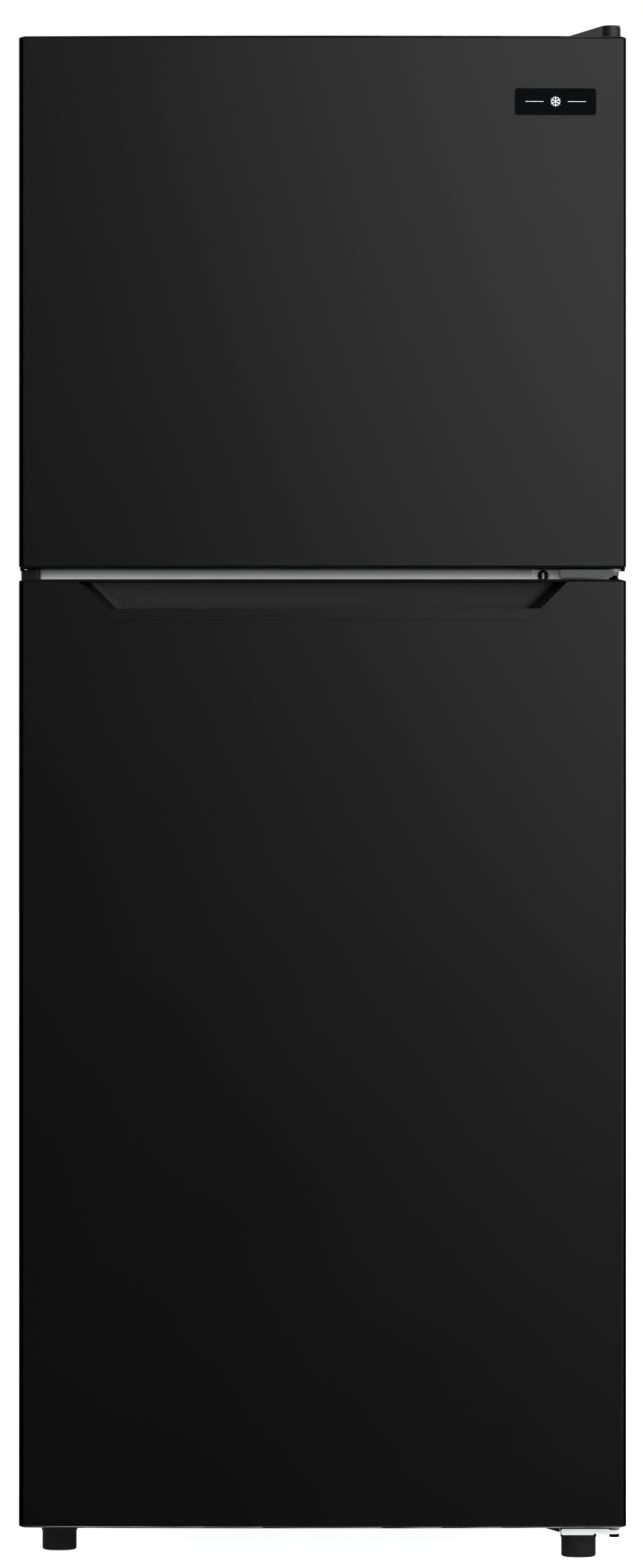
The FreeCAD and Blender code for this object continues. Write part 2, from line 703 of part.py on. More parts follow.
# ---------------------------------------------------------------- the two doors
def make_freezer_door():
    z = upper_door
    top_cap = door_cap(z, True)
    bottom_cap = fuse([door_cap(z, False), *door_lugs(z[0])])
    save("freezer_door_skin", door_skin(z))
    save("freezer_door_top_cap", top_cap)
    save("freezer_door_bottom_cap", bottom_cap)
    save("freezer_door_liner", door_liner(z, freezer_room))
    holes = [pin_hole(z, True), pin_hole(z, False)]
    save("freezer_door_foam", door_foam(z, freezer_room, top_cap, bottom_cap, *holes))
    save("freezer_door_gasket", door_gasket(z))
    rim = DYKE_SIDE_GAP + DYKE_WIDTH
    lower_bin = door_bin(freezer_room[0] + rim + FREEZER_BIN_LIFT)
    upper_bin = door_bin(freezer_room[1] - rim - FREEZER_BIN_TOP_GAP - BIN_HEIGHT)
    save("freezer_door_bins", lower_bin, upper_bin)
    save("badge", badge())


def door_lugs(bottom):
    """Small stop lugs under the two ends of a door's lower cap."""
    x = (door_half - LUG_EDGE_GAP - LUG_WIDTH, door_half - LUG_EDGE_GAP)
    middle = hinge_y - LUG_FORWARD
    y = (middle - LUG_LENGTH / 2, middle + LUG_LENGTH / 2)
    return both_sides(box(x, y, (bottom - LUG_DROP, bottom + CAP_T)))


def badge():
    """A plain plate on the freezer door that follows the crown."""
    right = door_half - BADGE_SIDE_GAP
    top = upper_door[1] - BADGE_TOP_GAP
    x = (right - BADGE_WIDTH, right)
    z = (top - BADGE_HEIGHT, top)
    column = soft_box(x, (door_front - 4, door_front + 12), z, BADGE_CORNER_R, V(0, 1, 0))
    span = (z[0] - 1, z[1] + 1)
    return column.common(door_block(span, -BADGE_T - BADGE_GLUE)).cut(door_block(span, -BADGE_GLUE))


def make_fridge_door():
    z = lower_door
    insert = handle_insert()
    seat = handle_outline(0).common(door_block((handle_bottom - 1, handle_top)))
    top_cap = door_cap(z, True).cut(seat)
    bottom_cap = fuse([door_cap(z, False), door_stop(z[0])])
    save("fridge_door_skin", door_skin(z).cut(handle_outline(0)))
    save("fridge_door_top_cap", top_cap)
    save("fridge_door_bottom_cap", bottom_cap)
    save("fridge_door_handle", insert)
    save("fridge_door_liner", door_liner(z, fridge_room))
    holes = [pin_hole(z, True), pin_hole(z, False)]
    save("fridge_door_foam", door_foam(z, fridge_room, top_cap, bottom_cap, seat, *holes))
    save("fridge_door_gasket", door_gasket(z))
    floor = fridge_room[0] + DYKE_SIDE_GAP + DYKE_WIDTH
    save("fridge_door_bins", *[door_bin(floor + level) for level in FRIDGE_BIN_LEVELS])


def door_stop(bottom):
    """A wedge under the door beside the hinge that stops it at its widest."""
    right = leaf_right - BOTTOM_LEAF_WIDTH - 1
    left = right - STOP_WIDTH
    y = hinge_y - STOP_LENGTH / 2
    outline = [(left, STOP_ROOT), (left, -STOP_LOW_END), (right, -STOP_DROP), (right, STOP_ROOT)]
    return prism([V(x, y, bottom + rise) for x, rise in outline], V(0, STOP_LENGTH, 0))


# ---------------------------------------------------------------- cabinet casing
def room_box(room, grow, front):
    """A compartment's box, grown on its closed sides, with its inner corners rounded."""
    half = room_half + grow
    block = box((-half, half), (front, room_back + grow), (room[0] - grow, room[1] + grow))
    closed = [e for e in block.Edges if e.CenterOfMass.y > front + 1]
    return block.makeFillet(ROOM_CORNER_R + grow, closed)


def fridge_space(grow, front):
    """The fridge compartment, with its floor stepped up over the machine compartment."""
    whole = room_box(fridge_room, grow, front)
    step = box(
        (-room_half - 5, room_half + 5),
        (step_front + grow, room_back + 5),
        (fridge_room[0] - 5, step_top - grow),
    )
    return whole.cut(step)


def liner_flange(low, high, room):
    """The flat rim of a liner around its opening, flush with the cabinet's front."""
    half = cabinet_half - SHELL_RETURN - RUN_GAP
    y = (cabinet_front, cabinet_front + LINER_T)
    rim = box((-half, half), y, (low, high))
    return rim.cut(room_box(room, 0, cabinet_front - 1))


def ledges(z, back):
    """A pair of shelf ledges on the side walls, with their top at z."""
    x = (room_half - LEDGE_REACH, room_half + LINER_T / 2)
    return both_sides(box(x, (shelf_front, back), (z - LEDGE_T, z)))


def make_freezer_liner():
    top_edge = cabinet_top - SHELL_RETURN - RUN_GAP
    flange = liner_flange(freezer_room[0] - MULLION_LIP + RUN_GAP, top_edge, freezer_room)
    shelf = freezer_room[0] + FREEZER_SHELF_LEVEL
    shell = room_box(freezer_room, LINER_T, cabinet_front)
    parts = [shell.cut(room_box(freezer_room, 0, cabinet_front - 1)), flange]
    liner = fuse(parts + ledges(shelf, cover_plane - 6))
    drain = rod(V(0, drain_y(), freezer_room[0] - 4), V(0, drain_y(), freezer_room[0] + 4), DRAIN_R)
    save("freezer_liner", liner.cut(drain))


def make_fridge_liner():
    low_edge = CABINET_BOTTOM + BASE_FLANGE + RUN_GAP
    flange = liner_flange(low_edge, fridge_room[1] + MULLION_LIP - RUN_GAP, fridge_room)
    shell = fridge_space(LINER_T, cabinet_front).cut(fridge_space(0, cabinet_front - 1))
    parts = [shell, flange]
    for level in SHELF_LEVELS[1:]:
        parts += ledges(fridge_room[0] + level, room_back - ROOM_CORNER_R - 4)
    parts += ledges(fridge_room[0] + SHELF_LEVELS[0], step_front - 4)
    parts += ledges(drawer_ledge_top(), step_front - 4)
    save("fridge_liner", fuse(parts))


def shell_wrapper():
    """Painted sheet folded over the top and both sides, with returns around the front."""
    x = (-cabinet_half, cabinet_half)
    y = (cabinet_front, cabinet_back)
    z = (CABINET_BOTTOM, cabinet_top)
    outer = soften(box(x, y, z), SHELL_R, V(0, 1, 0), lambda p: p.z > cabinet_top - 1)
    inner = box(
        (x[0] + SHELL_T, x[1] - SHELL_T),
        (y[0] + SHELL_T, y[1] + 1),
        (z[0] - 1, z[1] - SHELL_T),
    )
    inner = soften(inner, SHELL_R - SHELL_T, V(0, 1, 0), lambda p: p.z > cabinet_top - 2)
    mouth_half = cabinet_half - SHELL_RETURN
    mouth = box((-mouth_half, mouth_half), (y[0] - 1, y[0] + 2), (z[0] - 1, z[1] - SHELL_RETURN))
    bar_half = cabinet_half - MULLION_BAR_INSET + RUN_GAP
    notch_z = (mullion_bottom + MULLION_LIP - RUN_GAP, mullion_top - MULLION_LIP + RUN_GAP)
    notch = box((-bar_half, bar_half), (y[0] - 1, y[0] + 2), notch_z)
    return outer.cut(inner).cut(mouth).cut(notch)


def base_plate():
    """Bottom sheet: a front flange, the flat bottom and the step over the machine compartment."""
    half = cabinet_half - SHELL_T - SHEET_FIT
    return_half = cabinet_half - SHELL_RETURN - RUN_GAP
    front = cabinet_front + SHELL_T + SHEET_FIT
    z = CABINET_BOTTOM
    x = (-half, half)
    flat = box(x, (front, machine_front), (z, z + BASE_T))
    lip = box((-return_half, return_half), (cabinet_front, front + 1), (z, z + BASE_T))
    flange_y = (cabinet_front, cabinet_front + BASE_T)
    flange = box((-return_half, return_half), flange_y, (z, z + BASE_FLANGE))
    riser = box(x, (machine_front - BASE_T, machine_front), (z, machine_top + BASE_T))
    roof_y = (machine_front - BASE_T, cabinet_back - SHELL_T - SHEET_FIT)
    roof = box(x, roof_y, (machine_top, machine_top + BASE_T))
    return fuse([flat, lip, flange, riser, roof])


def back_panel():
    """Flat sheet that closes the back above the machine compartment."""
    half = cabinet_half - SHELL_T - SHEET_FIT
    y = (cabinet_back - SHELL_T, cabinet_back)
    panel = box((-half, half), y, (machine_top, cabinet_top - SHELL_T - SHEET_FIT))
    return soften(panel, SHELL_R, V(0, 1, 0), lambda p: p.z > cabinet_top - 2)


def mullion_bar():
    """Bare metal bar across the front between the two compartments."""
    half = cabinet_half - MULLION_BAR_INSET
    y = (cabinet_front, cabinet_front + BASE_T)
    return box((-half, half), y, (mullion_bottom + MULLION_LIP, mullion_top - MULLION_LIP))


def condenser_side(side):
    """Corners of one side's loops, from the machine compartment's roof to the front run's foot."""
    x = side * (cabinet_half - SHELL_T - CONDENSER_R - CONDENSER_GAP)
    corners = [V(x, condenser_run_y(CONDENSER_RUNS - 1), machine_top + BASE_T)]
    for run in reversed(range(CONDENSER_RUNS)):
        heights = (CONDENSER_LOW, condenser_high) if run % 2 else (condenser_high, CONDENSER_LOW)
        corners += [V(x, condenser_run_y(run), height) for height in heights]
    corners.pop(1)
    corners[-1].z = CONDENSER_CROSSING
    return corners


def condenser_run_y(run):
    return cabinet_front + CONDENSER_FRONT_GAP + run * CONDENSER_PITCH


def condenser_coil():
    """Warm tube bent up and down against both side walls, joined across under the floor."""
    corners = condenser_side(1) + condenser_side(-1)[::-1]
    return tube(corners, CONDENSER_R, CONDENSER_PITCH * COIL_BEND)


def condenser_slots():
    """Narrow slots that open the tube's bed towards the side walls."""
    slots = []
    for run in range(CONDENSER_RUNS):
        y = condenser_run_y(run)
        x = (cabinet_half - SHELL_T - CONDENSER_R, cabinet_half)
        z = (CONDENSER_LOW + CONDENSER_PITCH, condenser_high - CONDENSER_PITCH)
        slots += both_sides(box(x, (y - 1, y + 1), z))
    return slots


def drain_y():
    """Where the melt water leaves the freezer's floor, behind its cover."""
    return room_back - EVAPORATOR_DEPTH / 2


def drain_tube():
    """Melt water's way down the back wall to the pan over the compressor."""
    down = cabinet_back - DRAIN_BACK_GAP
    points = [
        V(0, drain_y(), freezer_room[0] + 1),
        V(0, drain_y(), freezer_room[0] - DRAIN_FALL),
        V(COMPRESSOR_X, down, fridge_room[1]),
        V(COMPRESSOR_X, down, machine_top - 8),
    ]
    outer_r = DRAIN_R - RUN_GAP
    outer = tube(points, outer_r, DRAIN_BEND)
    extended = [points[0] + V(0, 0, 1), *points[1:-1], points[-1] - V(0, 0, 1)]
    return outer.cut(tube(extended, outer_r - DRAIN_WALL, DRAIN_BEND)), outer


def make_casing():
    plate = base_plate()
    coil = condenser_coil()
    drain, drain_full = drain_tube()
    save("cabinet_shell", drilled(shell_wrapper()))
    save("mullion_bar", drilled(mullion_bar()))
    save("condenser_coil", coil)
    save("drain_tube", drain)
    drain_pass = rod(
        V(COMPRESSOR_X, cabinet_back - DRAIN_BACK_GAP, machine_top - 12),
        V(COMPRESSOR_X, cabinet_back - DRAIN_BACK_GAP, machine_top + 12),
        DRAIN_R,
    )
    save("base_plate", drilled(plate.cut(drain_pass)))
    save("back_panel", back_panel())
    half = cabinet_half - SHELL_T
    foam = box(
        (-half, half),
        (cabinet_front + SHELL_T, cabinet_back - SHELL_T),
        (CABINET_BOTTOM, cabinet_top - SHELL_T),
    )
    foam = soften(foam, SHELL_R - SHELL_T, V(0, 1, 0), lambda p: p.z > cabinet_top - 2)
    machine = box(
        (-cabinet_half, cabinet_half), (machine_front, cabinet_back + 1), (CABINET_BOTTOM - 1, machine_top)
    )
    flanges = box(
        (-cabinet_half, cabinet_half),
        (cabinet_front - 1, cabinet_front + max(LINER_T, BASE_T)),
        (CABINET_BOTTOM - 1, cabinet_top + 1),
    )
    cuts = [machine, flanges, plate, drain_full, coil, *condenser_slots()]
    cuts += [room_box(freezer_room, LINER_T, cabinet_front - 1), fridge_space(LINER_T, cabinet_front - 1)]
    for cut in cuts + screw_pilots():
        foam = foam.cut(cut)
    save("cabinet_foam", max(foam.Solids, key=lambda s: s.Volume))


# ---------------------------------------------------------------- hinges
def middle_plate_x():
    return (leaf_right - MIDDLE_PLATE_WIDTH, leaf_right - MIDDLE_PLATE_END)


def middle_leaf_top():
    """The middle leaf's top face, a little over the middle of the gap between the doors."""
    return gap_middle + MIDDLE_LEAF_RISE


def bottom_leaf_top():
    return lower_door[0] - RUN_GAP * 2 - WASHER_T


def top_screw_seats():
    left = leaf_right - TOP_LEAF_WIDTH
    top = cabinet_top + LEAF_T
    return [V(left + x, cabinet_front + y, top) for x, y in TOP_SCREWS]


def middle_screw_seats():
    left = middle_plate_x()[0]
    y = cabinet_front - MIDDLE_PLATE_T
    return [V(left + MIDDLE_SCREW_X, y, gap_middle)]


def bottom_screw_seats():
    y = hinge_y + BOTTOM_LEAF_LOW + BOTTOM_SCREW_BACK
    left = leaf_right - BOTTOM_LEAF_WIDTH
    return [V(left + x, y, CABINET_BOTTOM - LEAF_T) for x in BOTTOM_SCREWS_X]


def foot_screw_seats():
    x = -door_half + LEFT_FOOT_INSET
    y = door_front + LEFT_FOOT_SETBACK
    reach = FOOT_BRACKET_LENGTH / 2 + FOOT_SCREW_REACH
    z = CABINET_BOTTOM - LEAF_T
    return [V(x, y - reach, z), V(x, y + reach, z)]


def all_screws():
    """Each screw's seat and the way its head points."""
    groups = [
        (top_screw_seats(), V(0, 0, 1)),
        (middle_screw_seats(), V(0, -1, 0)),
        (bottom_screw_seats(), V(0, 0, -1)),
        (foot_screw_seats(), V(0, 0, -1)),
    ]
    return [(seat, way) for seats, way in groups for seat in seats]


def screw_pilots():
    """The holes that the screws' shanks fill."""
    deep = SCREW_LENGTH + 0.5
    return [rod(seat - way * deep, seat + way, SCREW_R + SCREW_FIT) for seat, way in all_screws()]


def drilled(solid):
    for pilot in screw_pilots():
        solid = solid.cut(pilot)
    return solid


def leaf_plate(width, y, z, nose_r):
    """A flat leaf whose two front corners are rounded."""
    plate = box((leaf_right - width, leaf_right), y, z)
    plate = soften(plate, LEAF_OVERHANG, V(0, 0, 1), lambda p: p.y < y[0] + 1 and p.x > hinge_x)
    return soften(plate, nose_r, V(0, 0, 1), lambda p: p.y < y[0] + 1 and p.x < hinge_x)


def pin_bore(z):
    """A hole for a pin right through a leaf at height z."""
    reach = V(0, 0, 2 * PIN_GRIP)
    middle = V(hinge_x, hinge_y, z)
    return rod(middle - reach, middle + reach, PIN_R + PIN_CLEARANCE)


def top_leaf_low():
    """The underside of the top leaf where it reaches over the freezer door."""
    return upper_door[1] + TOP_LEAF_GAP


def top_hinge():
    """Leaf that lies on the cabinet's top and steps up over the freezer door."""
    low = cabinet_top
    high = top_leaf_low()
    bend = cabinet_front + LEAF_T
    nose_y = (hinge_y - LEAF_OVERHANG, bend)
    nose = leaf_plate(TOP_NOSE_WIDTH, nose_y, (high, high + LEAF_T), TOP_NOSE_R)
    riser = box((leaf_right - TOP_NOSE_WIDTH, leaf_right), (cabinet_front, bend), (low, high + LEAF_T))
    tail_x = (leaf_right - TOP_LEAF_WIDTH, leaf_right)
    tail = box(tail_x, (cabinet_front, cabinet_front + TOP_LEAF_TAIL), (low, low + LEAF_T))
    return drilled(fuse([nose, riser, tail]).cut(pin_bore(high)))


def middle_hinge():
    top = middle_leaf_top()
    plate_x = middle_plate_x()
    back = cabinet_front
    plate_z = (gap_middle - MIDDLE_PLATE_HEIGHT / 2, gap_middle + MIDDLE_PLATE_HEIGHT / 2)
    plate = soft_box(plate_x, (back - MIDDLE_PLATE_T, back), plate_z, MIDDLE_PLATE_R, V(0, 1, 0))
    leaf = leaf_plate(MIDDLE_LEAF_WIDTH, (leaf_nose, back - 1), (top - LEAF_T, top), LEAF_CORNER_R)
    rim_x = (leaf_right - MIDDLE_LEAF_WIDTH, hinge_x - MIDDLE_RIM_END)
    rim_z = (top - LEAF_T - MIDDLE_RIM_DOWN, top + MIDDLE_RIM_UP)
    rim = soft_box(rim_x, (leaf_nose, leaf_nose + RIM_T), rim_z, RIM_CORNER_R, V(0, 1, 0))
    return drilled(fuse([plate, leaf, rim]).cut(pin_bore(top)))


def bottom_hinge():
    top = bottom_leaf_top()
    z = (top - BOTTOM_LEAF_T, top)
    low_y = (leaf_nose, hinge_y + BOTTOM_LEAF_LOW)
    low = leaf_plate(BOTTOM_LEAF_WIDTH, low_y, z, LEAF_CORNER_R)
    x = (leaf_right - BOTTOM_LEAF_WIDTH, leaf_right)
    riser = box(x, (low_y[1] - LEAF_T, low_y[1]), (z[0], CABINET_BOTTOM))
    tail_y = (low_y[1] - LEAF_T, low_y[1] + BOTTOM_LEAF_TAIL)
    tail = box(x, tail_y, (CABINET_BOTTOM - LEAF_T, CABINET_BOTTOM))
    rim_x = (x[0] + RUN_GAP * 4, hinge_x - BOTTOM_RIM_END)
    rim_z = (z[0] - BOTTOM_RIM_DOWN, z[1] + BOTTOM_RIM_UP)
    rim = soft_box(rim_x, (leaf_nose, leaf_nose + RIM_T), rim_z, RIM_CORNER_R, V(0, 1, 0))
    arch_foot = V(rim_x[1] - BOTTOM_ARCH_END, leaf_nose - 1, rim_z[0])
    arch = rod(arch_foot, arch_foot + V(0, RIM_T + 1.5, 0), BOTTOM_ARCH_R)
    leaf = fuse([low, riser, tail, rim]).cut(arch)
    foot = right_foot_axis()
    thread = rod(V(foot.x, foot.y, z[0] - 1), V(foot.x, foot.y, z[1] + 1), STUD_R + THREAD_GAP)
    return drilled(leaf.cut(pin_bore(top)).cut(thread))


def hinge_pins():
    """The three pins, each straight and held in its leaf."""
    top_leaf = top_leaf_low() + LEAF_T
    top_pin = rod(V(hinge_x, hinge_y, upper_door[1] - PIN_GRIP), V(hinge_x, hinge_y, top_leaf), PIN_R)
    middle_pin = rod(
        V(hinge_x, hinge_y, lower_door[1] - PIN_GRIP), V(hinge_x, hinge_y, upper_door[0] + PIN_GRIP), PIN_R
    )
    collar_top = middle_leaf_top() - LEAF_T - PIN_SHOULDER_GAP
    collar_low = lower_door[1] + RUN_GAP
    spool_h = collar_top - collar_low
    collar = Part.makeCone(PIN_SPOOL_R, PIN_R + PIN_CLEARANCE, spool_h, V(hinge_x, hinge_y, collar_low))
    head_top = bottom_leaf_top() - BOTTOM_LEAF_T - PIN_SHOULDER_GAP
    pin_ends = (V(hinge_x, hinge_y, head_top - 1), V(hinge_x, hinge_y, lower_door[0] + PIN_GRIP))
    bottom_pin = rod(*pin_ends, PIN_R)
    head = rod(V(hinge_x, hinge_y, head_top - PIN_HEAD_H), V(hinge_x, hinge_y, head_top), PIN_HEAD_R)
    return [top_pin, fuse([middle_pin, collar]), fuse([bottom_pin, head])]


def hinge_washers():
    """Nylon washers that the doors turn on."""
    bore = PIN_R + 3 * PIN_CLEARANCE
    seats = [(middle_leaf_top(), upper_door[0]), (bottom_leaf_top(), lower_door[0])]
    return [
        ring(V(hinge_x, hinge_y, seat), V(hinge_x, hinge_y, door - RUN_GAP), WASHER_R, bore)
        for seat, door in seats
    ]


def cover_form(wall):
    """The top hinge cover's outside, or its hollow when drawn in by a wall."""
    right = cabinet_half + COVER_OVERHANG
    left = right - COVER_LENGTH
    top = upper_door[1] + COVER_RISE
    over_door = upper_door[1] + COVER_LIFT
    y = door_front + COVER_FRONT
    tail = cabinet_front + COVER_TAIL
    points = [
        V(left + wall * 2, y + wall, cabinet_top - wall),
        V(right - wall, y + wall, cabinet_top - wall),
        V(right - wall, y + wall, top - wall),
        V(right - COVER_FLAT + wall * 0.3, y + wall, top - wall),
        V(left + wall * 2, y + wall, over_door + COVER_LOW_EDGE),
    ]
    body = prism(points, V(0, tail - y - 2 * wall, 0))
    body = soften(body, COVER_EDGE_R - wall, V(0, 1, 0), lambda p: p.x > right - wall - 1 and p.z > top - 4)
    centre = V(right - COVER_BARREL_R, hinge_y - COVER_BARREL_FORWARD, over_door - wall)
    barrel = rod(centre, centre + V(0, 0, top - over_door), COVER_BARREL_R - wall)
    form = fuse([body, barrel])
    over_gap = (door_front - 5, cabinet_front - 1.0)
    clear = box((left - 1, right + 1), over_gap, (cabinet_top - 9, over_door - wall))
    return form.cut(clear)


def top_hinge_cover():
    """Moulded cover over the top hinge, open underneath."""
    return cover_form(0).cut(cover_form(COVER_WALL))


def hole_cover():
    """Plug that hides the unused hinge holes at the other end of the mullion."""
    left = -door_half + HOLE_COVER_EDGE
    low = lower_door[1] + HOLE_COVER_LIFT
    x = (left, left + HOLE_COVER_WIDTH)
    y = (cabinet_front - HOLE_COVER_REACH, cabinet_front)
    z = (low, low + HOLE_COVER_HEIGHT)
    tongue = soften(box(x, y, z), HOLE_COVER_R, V(0, 0, 1), lambda p: p.y < cabinet_front - 2)
    foot_x = (-cabinet_half + RUN_GAP, -cabinet_half + HOLE_COVER_FOOT_WIDTH)
    foot_z = (gap_middle - HOLE_COVER_FOOT_HALF, gap_middle + HOLE_COVER_FOOT_HALF)
    foot = box(foot_x, (cabinet_front - HOLE_COVER_WALL, cabinet_front), foot_z)
    hollow_x = (x[0] + HOLE_COVER_WALL, x[1] - HOLE_COVER_WALL)
    hollow = box(hollow_x, (y[0] + HOLE_COVER_WALL, y[1] + 1), (z[0] - 1, z[1] - HOLE_COVER_TOP))
    return fuse([tongue.cut(hollow), foot])


def make_hinges():
    save("top_hinge", top_hinge())
    save("middle_hinge", middle_hinge())
    save("bottom_hinge", bottom_hinge())
    save("hinge_pins", *hinge_pins())
    save("hinge_washers", *hinge_washers())
    save("top_hinge_cover", top_hinge_cover())
    save("hinge_hole_cover", hole_cover())
    save("screws", *[screw(seat, way) for seat, way in all_screws()])


# ---------------------------------------------------------------- feet and rollers
def right_foot_axis():
    return V(door_half - FOOT_INSET, door_front + RIGHT_FOOT_SETBACK, 0)


def left_foot_axis():
    return V(-door_half + LEFT_FOOT_INSET, door_front + LEFT_FOOT_SETBACK, 0)


def foot(axis):
    """Ribbed plastic pad with a chamfered sole and a flange on top, bored for its stud."""
    pad = rod(axis, axis + V(0, 0, FOOT_HEIGHT), FOOT_R)
    sole = [e for e in pad.Edges if len(e.Vertexes) == 1 and e.CenterOfMass.z < 1]
    pad = pad.makeChamfer(FOOT_CHAMFER, sole)
    grooves = []
    for step in range(FOOT_RIBS):
        angle = 2 * math.pi * step / FOOT_RIBS
        at = axis + V(math.cos(angle), math.sin(angle), 0) * (FOOT_R + FOOT_RIB_OUT)
        grooves.append(rod(at + V(0, 0, FOOT_CHAMFER), at + V(0, 0, FOOT_HEIGHT + 1), FOOT_RIB_R))
    pad = pad.cut(Part.makeCompound(grooves))
    top = axis + V(0, 0, FOOT_HEIGHT)
    flange = rod(top - V(0, 0, FOOT_OVERLAP), top + V(0, 0, FOOT_FLANGE_T), FOOT_FLANGE_R)
    bore = rod(top - V(0, 0, STUD_GRIP), top + V(0, 0, STUD_GRIP), STUD_R + PIN_CLEARANCE)
    return fuse([pad, flange]).cut(bore)


def stud(axis):
    """Threaded stud moulded into a foot."""
    return rod(axis + V(0, 0, FOOT_HEIGHT - STUD_GRIP), axis + V(0, 0, CABINET_BOTTOM - 1), STUD_R)


def foot_bracket():
    """Hat-shaped steel bracket that the left foot screws into."""
    axis = left_foot_axis()
    top = bottom_leaf_top()
    x = (axis.x - FOOT_BRACKET_WIDTH / 2, axis.x + FOOT_BRACKET_WIDTH / 2)
    x = (max(x[0], -cabinet_half + 1), x[1])
    reach = FOOT_BRACKET_LENGTH / 2
    floor = box(x, (axis.y - reach, axis.y + reach), (top - BOTTOM_LEAF_T, top))
    parts = [floor]
    for side in (-1, 1):
        wall = sorted((axis.y + side * reach, axis.y + side * (reach - LEAF_T)))
        parts.append(box(x, wall, (top - BOTTOM_LEAF_T, CABINET_BOTTOM)))
        tab = sorted((axis.y + side * reach, axis.y + side * (reach + FOOT_BRACKET_TAB)))
        parts.append(box(x, tab, (CABINET_BOTTOM - LEAF_T, CABINET_BOTTOM)))
    thread = rod(axis + V(0, 0, top - 9), axis + V(0, 0, top + 3), STUD_R + THREAD_GAP)
    return drilled(fuse(parts).cut(thread))


def roller_centre(side):
    return V(side * (cabinet_half - ROLLER_INSET), cabinet_back - ROLLER_SETBACK, ROLLER_R)


def roller(side):
    """Plastic roller with a groove round its tread and recessed faces."""
    centre = roller_centre(side)
    half = V(ROLLER_WIDTH / 2, 0, 0)
    wheel = rod(centre - half, centre + half, ROLLER_R)
    rims = [e for e in wheel.Edges if len(e.Vertexes) == 1]
    wheel = wheel.makeChamfer(ROLLER_CHAMFER, rims)
    for way in (-1, 1):
        face = centre + half * way
        floor = face - V(way * ROLLER_DISH, 0, 0)
        dish = ring(floor, face + V(way, 0, 0), ROLLER_R - ROLLER_DISH, AXLE_R + ROLLER_HUB_WALL)
        wheel = wheel.cut(dish)
    return wheel.cut(rod(centre - half * 2, centre + half * 2, AXLE_R + PIN_CLEARANCE))


def roller_axle(side):
    centre = roller_centre(side)
    reach = V(ROLLER_WIDTH / 2 + ROLLER_CHEEK_GAP + ROLLER_CHEEK_T + AXLE_HEAD, 0, 0)
    return rod(centre - reach, centre + reach, AXLE_R)


def rail():
    """Cross plate under the machine compartment, with a rear lip and roller cheeks."""
    half = cabinet_half - SHELL_T - SHEET_FIT
    y = (machine_front, cabinet_back - 1)
    parts = [box((-half, half), y, (CABINET_BOTTOM, rail_top))]
    parts.append(box((-half, half), (y[1] - RAIL_T, y[1]), (CABINET_BOTTOM, CABINET_BOTTOM + RAIL_LIP)))
    for side in (-1, 1):
        centre = roller_centre(side)
        for way in (-1, 1):
            inner = centre.x + way * (ROLLER_WIDTH / 2 + ROLLER_CHEEK_GAP)
            x = sorted((inner, inner + way * ROLLER_CHEEK_T))
            cheek_y = (centre.y - ROLLER_CHEEK_HALF, centre.y + ROLLER_CHEEK_HALF)
            cheek = box(x, cheek_y, (ROLLER_R - ROLLER_CHEEK_DROP, CABINET_BOTTOM + RAIL_T / 4))
            parts.append(soften(cheek, ROLLER_CHEEK_DROP, V(1, 0, 0), lambda p: p.z < ROLLER_R))
    plate = fuse(parts)
    for side in (-1, 1):
        centre = roller_centre(side)
        reach = V(ROLLER_WIDTH, 0, 0)
        plate = plate.cut(rod(centre - reach, centre + reach, AXLE_R + PIN_CLEARANCE))
    middle = V(gland_x(), y[1], gland_z())
    reach = V(0, GLAND_R, 0)
    return plate.cut(rod(middle - reach, middle + reach, GLAND_R - GLAND_RIM))


def make_supports():
    for name, axis in (("left_foot", left_foot_axis()), ("right_foot", right_foot_axis())):
        save(name, foot(axis))
        save(f"{name}_stud", stud(axis))
    for name, side in (("left_roller", -1), ("right_roller", 1)):
        save(name, roller(side))
    save("roller_axles", roller_axle(-1), roller_axle(1))
    save("foot_bracket", foot_bracket())
    save("compressor_rail", rail())


# ---------------------------------------------------------------- machine compartment
def gland_x():
    return -cabinet_half + GLAND_INSET


def gland_z():
    return CABINET_BOTTOM + RAIL_LIP / 2 + 1


def leg_points():
    """The four corners of the compressor's foot plate, on the rail."""
    centre = V(COMPRESSOR_X, compressor_y, rail_top)
    reach = [(sx, sy) for sx in (-1, 1) for sy in (-1, 1)]
    return [centre + V(sx * COMPRESSOR_LEG, sy * COMPRESSOR_LEG_DEPTH, 0) for sx, sy in reach]


def compressor():
    """Welded pot with domed ends and a foot plate that its grommets carry."""
    low = compressor_low
    high = low + COMPRESSOR_HEIGHT
    axis = V(COMPRESSOR_X, compressor_y, 0)
    pot = rod(axis + V(0, 0, low), axis + V(0, 0, high), COMPRESSOR_R)
    ends = [e for e in pot.Edges if len(e.Vertexes) == 1]
    pot = pot.makeFillet(COMPRESSOR_DOME_R, ends)
    seam_z = low + COMPRESSOR_HEIGHT * SEAM_LEVEL
    seam = rod(axis + V(0, 0, seam_z), axis + V(0, 0, seam_z + SEAM_T), COMPRESSOR_R + SEAM_REACH)
    reach_x = COMPRESSOR_LEG + COMPRESSOR_LEG_RIM
    reach_y = COMPRESSOR_LEG_DEPTH + COMPRESSOR_LEG_RIM
    plate = soft_box(
        (COMPRESSOR_X - reach_x, COMPRESSOR_X + reach_x),
        (compressor_y - reach_y, compressor_y + reach_y),
        (low - COMPRESSOR_LEG_T, low + 1),
        COMPRESSOR_LEG_R,
        V(0, 0, 1),
    )
    body = fuse([pot, seam, plate])
    for point in leg_points():
        body = body.cut(rod(point, point + V(0, 0, 2 * GROMMET_HEIGHT), GROMMET_HOLE_R))
    return body


def grommet(point):
    """Rubber foot under a corner of the compressor's plate, with a plug through it."""
    top = point + V(0, 0, GROMMET_HEIGHT)
    pad = rod(point, top, GROMMET_R)
    plug = rod(top - V(0, 0, 1), top + V(0, 0, COMPRESSOR_LEG_T + 3), GROMMET_PLUG_R)
    return fuse([pad, plug])


